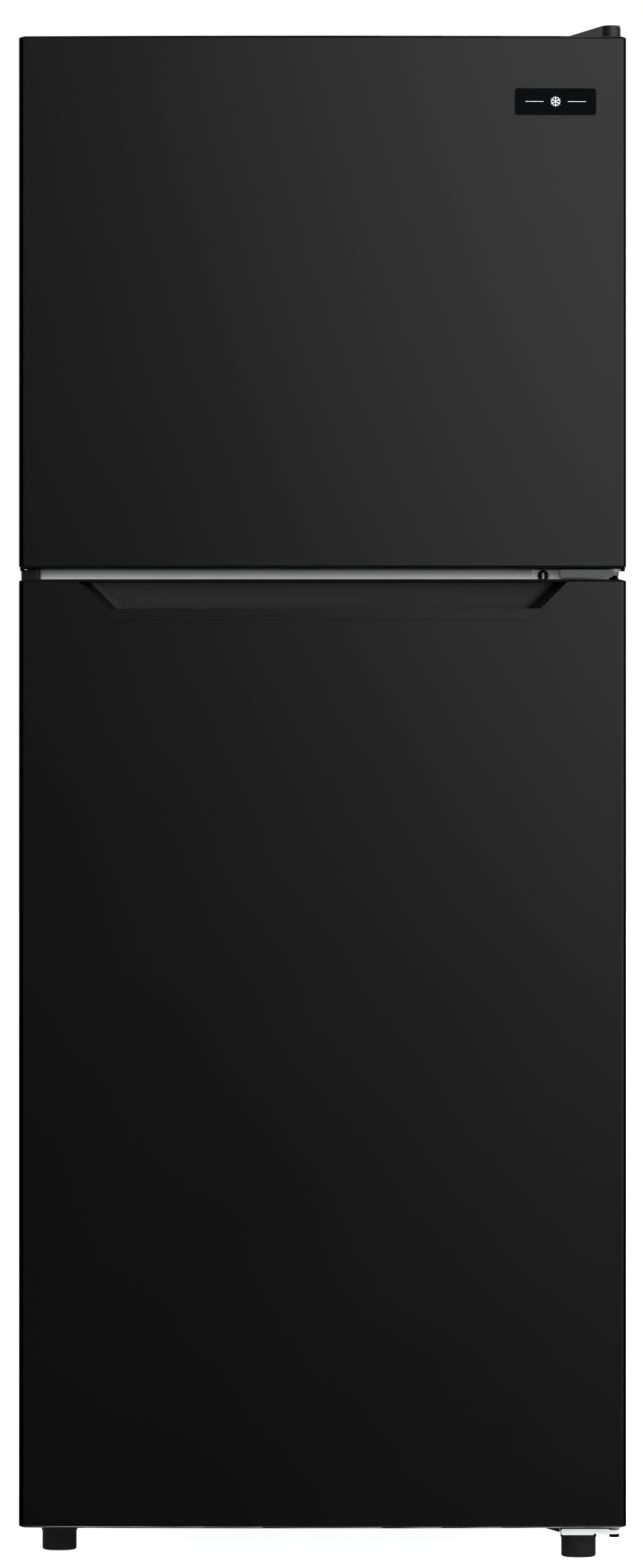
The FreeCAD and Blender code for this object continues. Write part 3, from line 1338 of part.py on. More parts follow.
def relay_cover():
    """Box over the compressor's starting relay, on its flank."""
    x = COMPRESSOR_X - COMPRESSOR_R
    y = compressor_y
    z = compressor_low + RELAY_LIFT
    span = (y - RELAY_DEPTH / 2, y + RELAY_DEPTH / 2)
    block = soft_box((x - RELAY_WIDTH, x + 8), span, (z, z + RELAY_HEIGHT), RELAY_R, V(1, 0, 0))
    pot_r = COMPRESSOR_R + SEAM_REACH + 0.2
    pot = rod(V(COMPRESSOR_X, y, z - 5), V(COMPRESSOR_X, y, z + RELAY_HEIGHT + 5), pot_r)
    return block.cut(pot)


def drain_pan():
    """Shallow open tray on top of the compressor."""
    low = compressor_low + COMPRESSOR_HEIGHT
    x = (COMPRESSOR_X - PAN_LENGTH / 2, COMPRESSOR_X + PAN_LENGTH / 2)
    y = (compressor_y - PAN_DEPTH / 2, compressor_y + PAN_DEPTH / 2)
    outer = soft_box(x, y, (low, low + PAN_HEIGHT), PAN_CORNER_R, V(0, 0, 1))
    inner = soft_box(
        (x[0] + PAN_WALL, x[1] - PAN_WALL),
        (y[0] + PAN_WALL, y[1] - PAN_WALL),
        (low + PAN_WALL, low + PAN_HEIGHT + 1),
        PAN_CORNER_R - PAN_WALL,
        V(0, 0, 1),
    )
    return outer.cut(inner)


def refrigerant_pipes():
    """Discharge and suction lines, and the filter drier on its own line."""
    x = COMPRESSOR_X + COMPRESSOR_R - 2
    z = compressor_low + DISCHARGE_LIFT
    front = compressor_y - 30
    wall = cabinet_half - SHELL_T - CONDENSER_R - CONDENSER_GAP - PIPE_GAP
    coil_y = condenser_run_y(CONDENSER_RUNS - 1)
    discharge = tube(
        [V(x, front, z), V(x + 60, front, z), V(wall, coil_y, z + 60), V(wall, coil_y, machine_top)],
        PIPE_R,
        PIPE_BEND,
    )
    low = compressor_low + SUCTION_LIFT
    back = compressor_y + 34
    suction = tube(
        [
            V(x - 12, back, low),
            V(x + 70, back, low),
            V(x + 90, back, low + 90),
            V(x + 90, back, machine_top),
        ],
        PIPE_R + 1,
        PIPE_BEND + 2,
    )
    drier_x = -cabinet_half + DRIER_INSET
    drier_y = compressor_y + 40
    drier_z = CABINET_BOTTOM + DRIER_LIFT
    drier = rod(V(drier_x, drier_y, drier_z), V(drier_x, drier_y, drier_z + DRIER_LENGTH), DRIER_R)
    ends = [e for e in drier.Edges if len(e.Vertexes) == 1]
    drier = drier.makeFillet(DRIER_END_R, ends)
    out = V(drier_x, drier_y, drier_z + DRIER_LENGTH - 1)
    line_out = rod(out, V(drier_x, drier_y, machine_top), CAPILLARY_R)
    line_in = tube(
        [
            V(drier_x, drier_y, drier_z + 1),
            V(drier_x, drier_y, drier_z - 34),
            V(-wall, coil_y, drier_z - 34),
            V(-wall, coil_y, machine_top),
        ],
        PIPE_R - 0.8,
        PIPE_BEND - 2,
    )
    pot = compressor()
    return [discharge.cut(pot), suction.cut(pot), fuse([drier, line_out, line_in])]


def power_inlet():
    """Strain-relief gland in the rear lip, where the supply lead goes in."""
    lip = V(gland_x(), cabinet_back - 1 - RAIL_T, gland_z())
    back = V(0, 1, 0)
    body = rod(lip - back * 6, lip + back * (RAIL_T + 1), GLAND_R - GLAND_RIM - 0.1)
    flange = rod(lip - back * 3, lip - back * 0.05, GLAND_R)
    spout = rod(lip - back * GLAND_LENGTH, lip - back * 3, GLAND_R - GLAND_RIM - 1)
    reach = back * GLAND_LENGTH * 2
    return fuse([body, flange, spout]).cut(rod(lip - reach, lip + reach, GLAND_BORE))


def make_machine():
    save("compressor", compressor())
    save("compressor_grommets", *[grommet(point) for point in leg_points()])
    save("relay_cover", relay_cover())
    save("drain_pan", drain_pan())
    save("refrigerant_pipes", *refrigerant_pipes())
    save("power_inlet", power_inlet())


# ---------------------------------------------------------------- inside the freezer
def evaporator():
    """Two rows of looped tube through a stack of thin fins."""
    z = (freezer_room[0] + EVAPORATOR_LIFT, freezer_room[0] + EVAPORATOR_LIFT + EVAPORATOR_HEIGHT)
    y = (room_back - EVAPORATOR_HANGER - EVAPORATOR_THICK, room_back - EVAPORATOR_HANGER)
    half = EVAPORATOR_WIDTH / 2
    pitch = EVAPORATOR_HEIGHT / EVAPORATOR_PASSES
    loops = []
    for depth in (y[0] + EVAPORATOR_THICK / 4, y[1] - EVAPORATOR_THICK / 4):
        corners = []
        for turn in range(EVAPORATOR_PASSES):
            ends = (-1, 1) if turn % 2 == 0 else (1, -1)
            level = z[0] + pitch * (turn + 0.5)
            corners += [V(end * (half + pitch * EVAPORATOR_LOOP), depth, level) for end in ends]
        loops.append(tube(corners, EVAPORATOR_TUBE_R, pitch * COIL_BEND))
    fins = []
    count = int(EVAPORATOR_WIDTH // FIN_PITCH)
    for index in range(count + 1):
        x = -half + index * (EVAPORATOR_WIDTH - FIN_T) / count
        fins.append(box((x, x + FIN_T), y, z))
    return fuse(fins + loops + evaporator_hangers(y[1], z[1]))


def evaporator_hangers(y, top):
    """Two bars across the fins that hold the evaporator to the liner's back wall."""
    half = EVAPORATOR_WIDTH / 2
    bars = []
    for z in (top - 40, top - 120):
        bars.append(box((-half, half), (y - 1, y + EVAPORATOR_HANGER), (z, z + 12)))
    return bars


def defrost_heater():
    """Heater tube in one long loop under the evaporator."""
    z = freezer_room[0] + HEATER_LIFT
    back = room_back - HEATER_BACK_GAP
    y = (back - EVAPORATOR_THICK + 2 * HEATER_R, back)
    half = EVAPORATOR_WIDTH / 2
    points = [V(-half, y[0], z), V(half, y[0], z), V(half, y[1], z), V(-half + 40, y[1], z)]
    loop = tube(points, HEATER_R, HEATER_BEND)
    pad_y = (y[0] - 2, y[0] + 2)
    pads = [box((x - 6, x + 6), pad_y, (freezer_room[0], z - 2)) for x in (-half + 30, half - 40)]
    return fuse([loop, *pads])


def evaporator_cover():
    """Panel in front of the evaporator, with the fan's grille and the return slots."""
    half = room_half - RUN_GAP
    y = (cover_plane, cover_plane + COVER_PANEL_T)
    z = (freezer_room[0] + RUN_GAP, freezer_room[1] - RUN_GAP)
    panel = soft_box((-half, half), y, z, ROOM_CORNER_R - RUN_GAP, V(0, 1, 0))
    through = (y[0] - 1, y[1] + 1)
    openings = []
    for row in range(GRILLE_ROWS):
        rise = (row - (GRILLE_ROWS - 1) / 2) * GRILLE_PITCH
        reach = math.sqrt(FAN_R**2 - rise**2)
        level = (fan_z + rise - GRILLE_SLOT / 2, fan_z + rise + GRILLE_SLOT / 2)
        openings.append(box((-reach, reach), through, level))
    width, height = RETURN_SLOT
    for column in range(RETURN_SLOTS):
        x = (column - (RETURN_SLOTS - 1) / 2) * RETURN_PITCH
        for level in RETURN_LEVELS:
            slot_z = (z[0] + level, z[0] + level + height)
            openings.append(box((x - width / 2, x + width / 2), through, slot_z))
    for row in range(SIDE_VENT_ROWS):
        level = fan_z - SIDE_VENT_DROP + row * GRILLE_PITCH
        x = room_half - SIDE_VENT_INSET
        vent = box((x - SIDE_VENT_HALF, x + SIDE_VENT_HALF), through, (level, level + GRILLE_SLOT))
        openings += both_sides(vent)
    return panel.cut(Part.makeCompound(openings))


def fan_motor():
    """Motor on the back wall with its shaft towards the cover."""
    start = V(0, room_back - FAN_MOTOR_DEPTH, fan_z)
    body = rod(start, V(0, room_back, fan_z), FAN_MOTOR_R)
    mount_x = (-FAN_MOUNT_HALF, FAN_MOUNT_HALF)
    mount = box(mount_x, (room_back - 3, room_back), (fan_z - 10, fan_z + 10))
    shaft = rod(start - V(0, FAN_DEPTH, 0), start + V(0, 2, 0), FAN_SHAFT_R)
    return fuse([body, mount, shaft])


def fan_blade():
    """Hub and pitched blades on the motor's shaft."""
    back = room_back - FAN_MOTOR_DEPTH - FAN_GAP
    front = back - FAN_DEPTH
    hub = rod(V(0, front, fan_z), V(0, back, fan_z), FAN_HUB_R)
    blades = [hub]
    for step in range(FAN_BLADES):
        thick = (-FAN_BLADE_T / 2, FAN_BLADE_T / 2)
        blade = box((FAN_HUB_R - 3, FAN_R), thick, (-FAN_BLADE_WIDTH / 2, FAN_BLADE_WIDTH / 2))
        blade = soften(blade, FAN_BLADE_R, V(0, 1, 0), lambda p: p.x > FAN_R - 1)
        blade.rotate(V(0, 0, 0), V(1, 0, 0), FAN_PITCH_ANGLE)
        blade.rotate(V(0, 0, 0), V(0, 1, 0), 360 * step / FAN_BLADES)
        blade.translate(V(0, (front + back) / 2, fan_z))
        blades.append(blade)
    bore = rod(V(0, front + 2, fan_z), V(0, back + 2, fan_z), FAN_SHAFT_R + PIN_CLEARANCE)
    return fuse(blades).cut(bore)


def freezer_shelf():
    """Welded wire shelf that rests on the liner's ledges."""
    half = room_half - SHELF_SIDE_GAP
    z = freezer_room[0] + FREEZER_SHELF_LEVEL + WIRE_R
    y = (shelf_front + 4, cover_plane - 10)
    wires = []
    for end in y:
        wires.append(rod(V(-half, end, z), V(half, end, z), WIRE_R))
    middle = (y[0] + y[1]) / 2
    wires.append(rod(V(-half, middle, z), V(half, middle, z), WIRE_R))
    wires += [rod(V(side * (half - 2), y[0], z), V(side * (half - 2), y[1], z), WIRE_R) for side in (-1, 1)]
    span = 2 * (half - WIRE_END_GAP)
    for index in range(WIRE_COUNT):
        x = span * (index / (WIRE_COUNT - 1) - 0.5)
        wires.append(rod(V(x, y[0] - 1, z + WIRE_R), V(x, y[1] + 1, z + WIRE_R), WIRE_R * WIRE_THIN))
    return fuse(wires)


def make_freezer():
    save("evaporator", evaporator())
    save("defrost_heater", defrost_heater())
    save("evaporator_cover", evaporator_cover())
    save("fan_motor", fan_motor())
    save("fan_blade", fan_blade())
    save("freezer_shelf", freezer_shelf())


# ---------------------------------------------------------------- inside the fridge
def drawer_ledge_top():
    return fridge_room[0] + SHELF_LEVELS[0] - DRAWER_LEDGE_DROP


def shelf_depth(index):
    back = step_front if index == 0 else room_back
    return (shelf_front, back - 6)


def shelf_glass(index):
    """A glass shelf on its ledges."""
    z = fridge_room[0] + SHELF_LEVELS[index]
    half = room_half - 2
    depth = shelf_depth(index)
    return box((-half, half), (depth[0] + TRIM_WALL + 0.3, depth[1] - TRIM_WALL - 0.3), (z, z + GLASS_T))


def shelf_trim(index, front):
    """Moulded channel along a shelf's front or rear edge."""
    z = fridge_room[0] + SHELF_LEVELS[index]
    half = room_half - LEDGE_REACH - 1
    depth = shelf_depth(index)
    y = (depth[0], depth[0] + TRIM_DEPTH) if front else (depth[1] - TRIM_DEPTH, depth[1])
    height = (z + GLASS_T / 2 - TRIM_HEIGHT / 2, z + GLASS_T / 2 + TRIM_HEIGHT / 2)
    bar = soft_box((-half, half), y, height, TRIM_EDGE_R, V(1, 0, 0))
    slot_y = (y[0] + TRIM_WALL, y[1] + 1) if front else (y[0] - 1, y[1] - TRIM_WALL)
    return bar.cut(box((-half - 1, half + 1), slot_y, (z - 0.1, z + GLASS_T + 0.1)))


def crisper_drawer():
    """Open drawer that hangs by its side wings on the liner's ledges."""
    half = room_half - DRAWER_SIDE_GAP
    y = (shelf_front + 2, step_front - 8)
    z = (fridge_room[0] + DRAWER_FLOOR_GAP, fridge_room[0] + DRAWER_FLOOR_GAP + DRAWER_HEIGHT)
    ledge = drawer_ledge_top()
    wing_z = (ledge + RUN_GAP, ledge + RUN_GAP + DRAWER_WING_T)
    outer = soft_box((-half, half), y, (z[0], wing_z[1]), DRAWER_CORNER_R, V(0, 1, 0))
    inner = soften(
        box(
            (-half + DRAWER_WALL, half - DRAWER_WALL),
            (y[0] + DRAWER_FRONT_T, y[1] - DRAWER_WALL),
            (z[0] + DRAWER_WALL, wing_z[1] + 20),
        ),
        DRAWER_CORNER_R - DRAWER_WALL,
        V(0, 1, 0),
        lambda p: p.z < wing_z[0],
    )
    top = box((-half - 1, half + 1), (y[0] - 1, y[1] + 1), (wing_z[0] - 1, wing_z[1] + 1))
    body = outer.cut(inner)
    square = box((-half, half), y, wing_z).cut(inner)
    body = body.cut(top.cut(box((-half, half), y, (wing_z[0] - 2, wing_z[1]))))
    wings = both_sides(box((half - 1, room_half - 1.5), (y[0] + DRAWER_WING_SETBACK, y[1]), wing_z))
    pull = soft_box(
        (-DRAWER_PULL_HALF, DRAWER_PULL_HALF),
        (y[0] - 1, y[0] + DRAWER_FRONT_T - 3),
        (z[1] - DRAWER_PULL_Z[0], z[1] - DRAWER_PULL_Z[1]),
        DRAWER_PULL_R,
        V(0, 1, 0),
    )
    return fuse([body, square, *wings]).cut(pull)


def control_box():
    """Housing under the fridge's ceiling for the thermostat and the lamp."""
    half = CONTROL_WIDTH / 2
    front = shelf_front + CONTROL_SETBACK
    y = (front, front + CONTROL_DEPTH)
    z = (fridge_room[1] - CONTROL_HEIGHT, fridge_room[1])
    outer = soft_box((-half, half), y, z, CONTROL_CORNER_R, V(0, 0, 1))
    inner = box(
        (-half + CONTROL_WALL, half - CONTROL_WALL),
        (y[0] + CONTROL_WALL, y[1] - CONTROL_WALL),
        (z[0] + CONTROL_WALL, z[1] + 1),
    )
    inner = soften(inner, CONTROL_CORNER_R - CONTROL_WALL, V(0, 0, 1))
    housing = outer.cut(inner)
    window = lens_box(RUN_GAP, 5)
    shaft = dial_axis()
    bore = rod(shaft - V(0, 20, 0), shaft + V(0, 20, 0), DIAL_SHAFT_R + PIN_CLEARANCE)
    return housing.cut(window).cut(bore)


def dial_axis():
    """The point on the control box's front where the dial's shaft goes in."""
    return V(DIAL_X, shelf_front + CONTROL_SETBACK, fridge_room[1] - CONTROL_HEIGHT / 2)


def thermostat_dial():
    """Round dial with a grip bar and its shaft."""
    face = dial_axis() - V(0, RUN_GAP, 0)
    disc = rod(face - V(0, DIAL_T * 0.5, 0), face, DIAL_R)
    front = [e for e in disc.Edges if len(e.Vertexes) == 1 and e.CenterOfMass.y < face.y - 1]
    disc = disc.makeFillet(DIAL_EDGE_R, front)
    grip_x = (face.x - GRIP_WIDTH / 2, face.x + GRIP_WIDTH / 2)
    grip_z = (face.z - DIAL_R + DIAL_EDGE_R, face.z + DIAL_R - DIAL_EDGE_R)
    grip = soft_box(grip_x, (face.y - DIAL_T, face.y - 3), grip_z, GRIP_R, V(0, 1, 0))
    shaft = rod(face - V(0, 2, 0), face + V(0, DIAL_SHAFT_REACH, 0), DIAL_SHAFT_R)
    return fuse([disc, grip, shaft])


def lens_box(grow, up):
    """The lamp lens's footprint in the bottom of the control box."""
    x = LENS_X
    y = shelf_front + CONTROL_SETBACK + CONTROL_DEPTH / 2
    z = fridge_room[1] - CONTROL_HEIGHT
    return soft_box(
        (x - LENS_WIDTH / 2 - grow, x + LENS_WIDTH / 2 + grow),
        (y - LENS_DEPTH / 2 - grow, y + LENS_DEPTH / 2 + grow),
        (z - LENS_DROP, z + up),
        LENS_CORNER_R + grow,
        V(0, 0, 1),
    )


def lamp_lens():
    """Clear cap over the lamp, hollow from above."""
    return lens_box(0, 4).cut(lens_box(-LENS_WALL, 6).translated(V(0, 0, LENS_WALL)))


def make_fridge():
    trims = [shelf_trim(index, front) for index in range(len(SHELF_LEVELS)) for front in (True, False)]
    save("shelf_glass", *[shelf_glass(index) for index in range(len(SHELF_LEVELS))])
    save("shelf_trims", *trims)
    save("crisper_drawer", crisper_drawer())
    save("control_box", control_box())
    save("thermostat_dial", thermostat_dial())
    save("lamp_lens", lamp_lens())


os.makedirs("parts", exist_ok=True)
make_casing()
make_freezer_liner()
make_fridge_liner()
make_hinges()
make_supports()
make_machine()
make_freezer()
make_fridge()
make_freezer_door()
make_fridge_door()
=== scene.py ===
import json
import math

import bpy
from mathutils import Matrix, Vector

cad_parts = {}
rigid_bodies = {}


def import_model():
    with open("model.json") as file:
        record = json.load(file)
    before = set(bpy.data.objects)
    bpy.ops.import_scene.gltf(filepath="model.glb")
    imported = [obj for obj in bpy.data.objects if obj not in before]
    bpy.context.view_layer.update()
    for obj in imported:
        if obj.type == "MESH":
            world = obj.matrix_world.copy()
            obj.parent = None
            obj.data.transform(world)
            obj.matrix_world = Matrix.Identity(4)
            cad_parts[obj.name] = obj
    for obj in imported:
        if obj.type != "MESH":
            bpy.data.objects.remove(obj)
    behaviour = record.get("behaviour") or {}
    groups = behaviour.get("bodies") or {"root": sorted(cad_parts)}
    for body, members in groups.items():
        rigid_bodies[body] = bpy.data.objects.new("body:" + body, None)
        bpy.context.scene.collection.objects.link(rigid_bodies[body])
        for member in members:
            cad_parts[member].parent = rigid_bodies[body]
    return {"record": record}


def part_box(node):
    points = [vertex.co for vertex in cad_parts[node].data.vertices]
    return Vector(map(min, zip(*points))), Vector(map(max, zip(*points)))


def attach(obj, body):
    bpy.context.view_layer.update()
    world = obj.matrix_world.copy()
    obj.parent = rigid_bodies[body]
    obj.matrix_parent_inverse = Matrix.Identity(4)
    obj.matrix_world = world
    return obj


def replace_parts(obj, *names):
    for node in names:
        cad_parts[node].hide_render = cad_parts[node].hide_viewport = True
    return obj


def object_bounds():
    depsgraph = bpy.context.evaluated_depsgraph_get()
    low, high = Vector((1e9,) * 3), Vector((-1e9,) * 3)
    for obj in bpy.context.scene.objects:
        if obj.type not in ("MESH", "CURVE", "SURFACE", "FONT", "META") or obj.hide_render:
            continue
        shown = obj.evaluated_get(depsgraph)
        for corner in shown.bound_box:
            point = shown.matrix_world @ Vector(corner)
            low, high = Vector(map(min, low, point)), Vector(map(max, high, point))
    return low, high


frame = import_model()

CAD_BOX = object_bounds()
MM = 0.001
FRONT = CAD_BOX[0].y


# ---------------------------------------------------------------- colour and node helpers
def linear(colour):
    """A web hex colour as linear RGBA."""
    parts = [int(colour[at:at + 2], 16) / 255 for at in (1, 3, 5)]
    return (*[v / 12.92 if v <= 0.04045 else ((v + 0.055) / 1.055) ** 2.4 for v in parts], 1.0)


def add(tree, kind, inputs=None, **settings):
    """Adds one node with its settings, then sets or links its inputs."""
    made = tree.nodes.new("ShaderNode" + kind)
    for name, value in settings.items():
        setattr(made, name, value)
    for socket, value in (inputs or {}).items():
        if isinstance(value, bpy.types.NodeSocket):
            tree.links.new(value, made.inputs[socket])
        else:
            made.inputs[socket].default_value = value
    return made


def start(name, **values):
    """A new material with its shader's own numbers set."""
    made = bpy.data.materials.new(name)
    made.use_nodes = True
    shader = made.node_tree.nodes["Principled BSDF"]
    for socket, value in values.items():
        shader.inputs[socket.replace("_", " ")].default_value = value
    place = add(made.node_tree, "TexCoord").outputs["Object"]
    return made, made.node_tree, shader, place


def per(mm):
    """The scale that gives a pattern this size in millimetres."""
    return 1 / (mm * MM)


# ---------------------------------------------------------------- materials
# sizes and depths of the patterns in mm
ROLLER_CLOUD = 160
FLOW_MARK = 45
MILL_GRAIN, MILL_DEPTH = 0.9, 0.012
SPANGLE_WARP = 0.006
ROLLED_DEPTH = 0.008
RIPPLE_DEPTH = 0.03
CELL_DEPTH = 0.4
HINGE_LINE = 0.6
HINGE_SHADE_FADE = 1.5  # half of the way over which the rim's painted shade gives way to the plate's tone

# the handle's pocket, in mm in from the flush lip, from its back wall and along its left side wall; the side
# walls carry painted shade and the left wall's foot a painted highlight
LIP_FADE = (0.15, 0.5)
LIP_ROUGH = 0.39
POCKET_ROUGH = (0.55, 0.7)
POCKET_GRAIN, POCKET_DEPTH = 0.9, 0.015
SIDE_WALL_SHADE_FADE = (13, 7)
BACK_WALL_FADE = (7, 3.5)
LEFT_WALL_SHEEN_FOOT = (652.5, 658.5)
WALL_SLANT = 0.91  # the left side wall's foot moves this far across for each unit down


def painted_steel(name, low, high, rough, peel_mm, peel_depth, coat):
    """Coil-coated steel sheet: the roller leaves a slow cloud in the gloss and a faint orange peel."""
    made, tree, shader, place = start(name, Coat_Weight=coat, Coat_Roughness=0.08)
    cloud = add(tree, "TexNoise", {"Vector": place, "Scale": per(ROLLER_CLOUD), "Detail": 2.0}).outputs["Fac"]
    peel = add(tree, "TexNoise", {"Vector": place, "Scale": per(peel_mm), "Detail": 2.0}).outputs["Fac"]
    shade = add(tree, "Mix", {"Factor": cloud, 6: linear(low), 7: linear(high)}, data_type="RGBA").outputs[2]
    tree.links.new(shade, shader.inputs["Base Color"])
    gloss = add(tree, "MapRange", {0: cloud, 3: rough[0], 4: rough[1]}).outputs[0]
    tree.links.new(gloss, shader.inputs["Roughness"])
    bump = add(tree, "Bump", {"Height": peel, "Distance": peel_depth * MM, "Strength": 1.0})
    tree.links.new(bump.outputs[0], shader.inputs["Normal"])
    return made


def door_steel(name, low, high, rough, peel_mm, peel_depth, shade_bands):
    """Door front: gloss black, with painted shade that blackens its reflection in bands at the rounded side
    edges.
    """
    made = painted_steel(name, low, high, rough, peel_mm, peel_depth, 0.0)
    tree = made.node_tree
    place = add(tree, "TexCoord").outputs["Object"]
    across = add(tree, "SeparateXYZ", {0: place}).outputs["X"]
    left = add(tree, "MapRange", {0: across, 1: shade_bands[0] * MM, 2: shade_bands[1] * MM, 3: 1.0, 4: 0.0}).outputs[0]
    right = add(tree, "MapRange", {0: across, 1: shade_bands[2] * MM, 2: shade_bands[3] * MM, 3: 0.0, 4: 1.0}).outputs[0]
    # painted shade: full metallic over the near-black base turns the reflection black in the bands at the
    # side edges
    edge_shade = add(tree, "Math", {0: left, 1: right}, operation="ADD").outputs[0]
    tree.links.new(edge_shade, tree.nodes["Principled BSDF"].inputs["Metallic"])
    return made


def moulded(name, low, high, rough, grain_mm, grain_depth, **values):
    """Injection-moulded plastic: a fine spark-eroded grain and a slow change of gloss."""
    made, tree, shader, place = start(name, **values)
    flow = add(tree, "TexNoise", {"Vector": place, "Scale": per(FLOW_MARK), "Detail": 3.0}).outputs["Fac"]
    grain = add(tree, "TexNoise", {"Vector": place, "Scale": per(grain_mm), "Detail": 4.0}).outputs["Fac"]
    shade = add(tree, "Mix", {"Factor": flow, 6: linear(low), 7: linear(high)}, data_type="RGBA").outputs[2]
    tree.links.new(shade, shader.inputs["Base Color"])
    gloss = add(tree, "MapRange", {0: grain, 3: rough[0], 4: rough[1]}).outputs[0]
    tree.links.new(gloss, shader.inputs["Roughness"])
    bump = add(tree, "Bump", {"Height": grain, "Distance": grain_depth * MM, "Strength": 1.0})
    tree.links.new(bump.outputs[0], shader.inputs["Normal"])
    return made


def zinc_coated(name, low, high, rough, spangle_mm):
    """Hot-dip galvanised sheet: frost-like crystals of zinc, each with its own grey and gloss."""
    made, tree, shader, place = start(name, Metallic=1.0)
    bent = add(tree, "TexNoise", {"Vector": place, "Scale": per(spangle_mm), "Detail": 3.0}).outputs["Color"]
    moved = add(tree, "Mix", {"Factor": SPANGLE_WARP, 4: place, 5: bent}, data_type="VECTOR").outputs[1]
    crystal = add(tree, "TexVoronoi", {"Vector": moved, "Scale": per(spangle_mm)})
    grey = add(tree, "SeparateColor", {0: crystal.outputs["Color"]}).outputs[0]
    shade = add(tree, "Mix", {"Factor": grey, 6: linear(low), 7: linear(high)}, data_type="RGBA").outputs[2]
    tree.links.new(shade, shader.inputs["Base Color"])
    gloss = add(tree, "MapRange", {0: grey, 3: rough[0], 4: rough[1]}).outputs[0]
    tree.links.new(gloss, shader.inputs["Roughness"])
    mill = add(tree, "TexNoise", {"Vector": place, "Scale": per(MILL_GRAIN), "Detail": 2.0}).outputs["Fac"]
    bump = add(tree, "Bump", {"Height": mill, "Distance": MILL_DEPTH * MM, "Strength": 1.0})
    tree.links.new(bump.outputs[0], shader.inputs["Normal"])
    return made


def drawn_metal(name, low, high, rough, line_mm, stretch, metallic=1.0):
    """Rolled or drawn metal: fine lines along the way it was worked."""
    made, tree, shader, place = start(name, Metallic=metallic)
    along = add(tree, "Mapping", {"Vector": place, "Scale": stretch}).outputs[0]
    lines = add(tree, "TexNoise", {"Vector": along, "Scale": per(line_mm), "Detail": 4.0}).outputs["Fac"]
    shade = add(tree, "Mix", {"Factor": lines, 6: linear(low), 7: linear(high)}, data_type="RGBA").outputs[2]
    tree.links.new(shade, shader.inputs["Base Color"])
    gloss = add(tree, "MapRange", {0: lines, 3: rough[0], 4: rough[1]}).outputs[0]
    tree.links.new(gloss, shader.inputs["Roughness"])
    bump = add(tree, "Bump", {"Height": lines, "Distance": ROLLED_DEPTH * MM, "Strength": 1.0})
    tree.links.new(bump.outputs[0], shader.inputs["Normal"])
    return made


def plated_hinge(name, low, high, rim, rough, edge):
    """Zinc-plated hinge: lines from rolling, and painted shade darkening the rim that faces the room."""
    made, tree, shader, place = start(name, Metallic=0.6)
    along = add(tree, "Mapping", {"Vector": place, "Scale": (1.0, 8.0, 8.0)}).outputs[0]
    lines = add(tree, "TexNoise", {"Vector": along, "Scale": per(HINGE_LINE), "Detail": 4.0}).outputs["Fac"]
    depth = add(tree, "SeparateXYZ", {0: place}).outputs["Y"]
    fade = [edge + side * HINGE_SHADE_FADE * MM for side in (-1, 1)]
    inside = add(tree, "MapRange", {0: depth, 1: fade[0], 2: fade[1]}).outputs[0]
    plate = add(tree, "Mix", {"Factor": lines, 6: linear(low), 7: linear(high)}, data_type="RGBA").outputs[2]
    # painted shade: the front rim takes a darker grey than the plate behind it
    shade = add(tree, "Mix", {"Factor": inside, 6: linear(rim), 7: plate}, data_type="RGBA").outputs[2]
    tree.links.new(shade, shader.inputs["Base Color"])
    gloss = add(tree, "MapRange", {0: lines, 3: rough[0], 4: rough[1]}).outputs[0]
    tree.links.new(gloss, shader.inputs["Roughness"])
    bump = add(tree, "Bump", {"Height": lines, "Distance": ROLLED_DEPTH * MM, "Strength": 1.0})
    tree.links.new(bump.outputs[0], shader.inputs["Normal"])
    return made


def shade_graded_zinc(name, painted_shade, light, rough, shade_span):
    """Electro-galvanised bar: pale and chalky, with painted shade darkening it towards its top edge, under
    the freezer door.
    """
    made = drawn_metal(name, light, light, rough, 2.5, (0.05, 1.0, 1.0), 0.2)
    tree = made.node_tree
    place = add(tree, "TexCoord").outputs["Object"]
    height = add(tree, "SeparateXYZ", {0: place}).outputs["Z"]
    rise = add(tree, "MapRange", {0: height, 1: shade_span[0] * MM, 2: shade_span[1] * MM}).outputs[0]
    colour = tree.nodes["Principled BSDF"].inputs["Base Color"]
    pale = colour.links[0].from_socket
    # painted shade: the bar darkens towards its top edge, where the freezer door shadows it
    shade = add(tree, "Mix", {"Factor": rise, 6: pale, 7: linear(painted_shade)}, data_type="RGBA").outputs[2]
    tree.links.new(shade, colour)
    return made


def clear(name, colour, ior, rough, ripple_mm):
    """Clear sheet or moulding: a slight ripple bends what is seen through it."""
    made, tree, shader, place = start(name, Base_Color=linear(colour), IOR=ior, Transmission_Weight=1.0)
    ripple = add(tree, "TexNoise", {"Vector": place, "Scale": per(ripple_mm), "Detail": 1.0}).outputs["Fac"]
    gloss = add(tree, "MapRange", {0: ripple, 3: rough[0], 4: rough[1]}).outputs[0]
    tree.links.new(gloss, shader.inputs["Roughness"])
    bump = add(tree, "Bump", {"Height": ripple, "Distance": RIPPLE_DEPTH * MM, "Strength": 1.0})
    tree.links.new(bump.outputs[0], shader.inputs["Normal"])
    return made


def cellular(name, low, high, cell_mm):
    """Rigid polyurethane foam: a cut face of small round cells, yellower where it is dense."""
    made, tree, shader, place = start(name, Roughness=0.85)
    cells = add(tree, "TexVoronoi", {"Vector": place, "Scale": per(cell_mm)}).outputs["Distance"]
    shade = add(tree, "Mix", {"Factor": cells, 6: linear(low), 7: linear(high)}, data_type="RGBA").outputs[2]
    tree.links.new(shade, shader.inputs["Base Color"])
    bump = add(tree, "Bump", {"Height": cells, "Distance": CELL_DEPTH * MM, "Strength": 1.0})
    tree.links.new(bump.outputs[0], shader.inputs["Normal"])
    return made


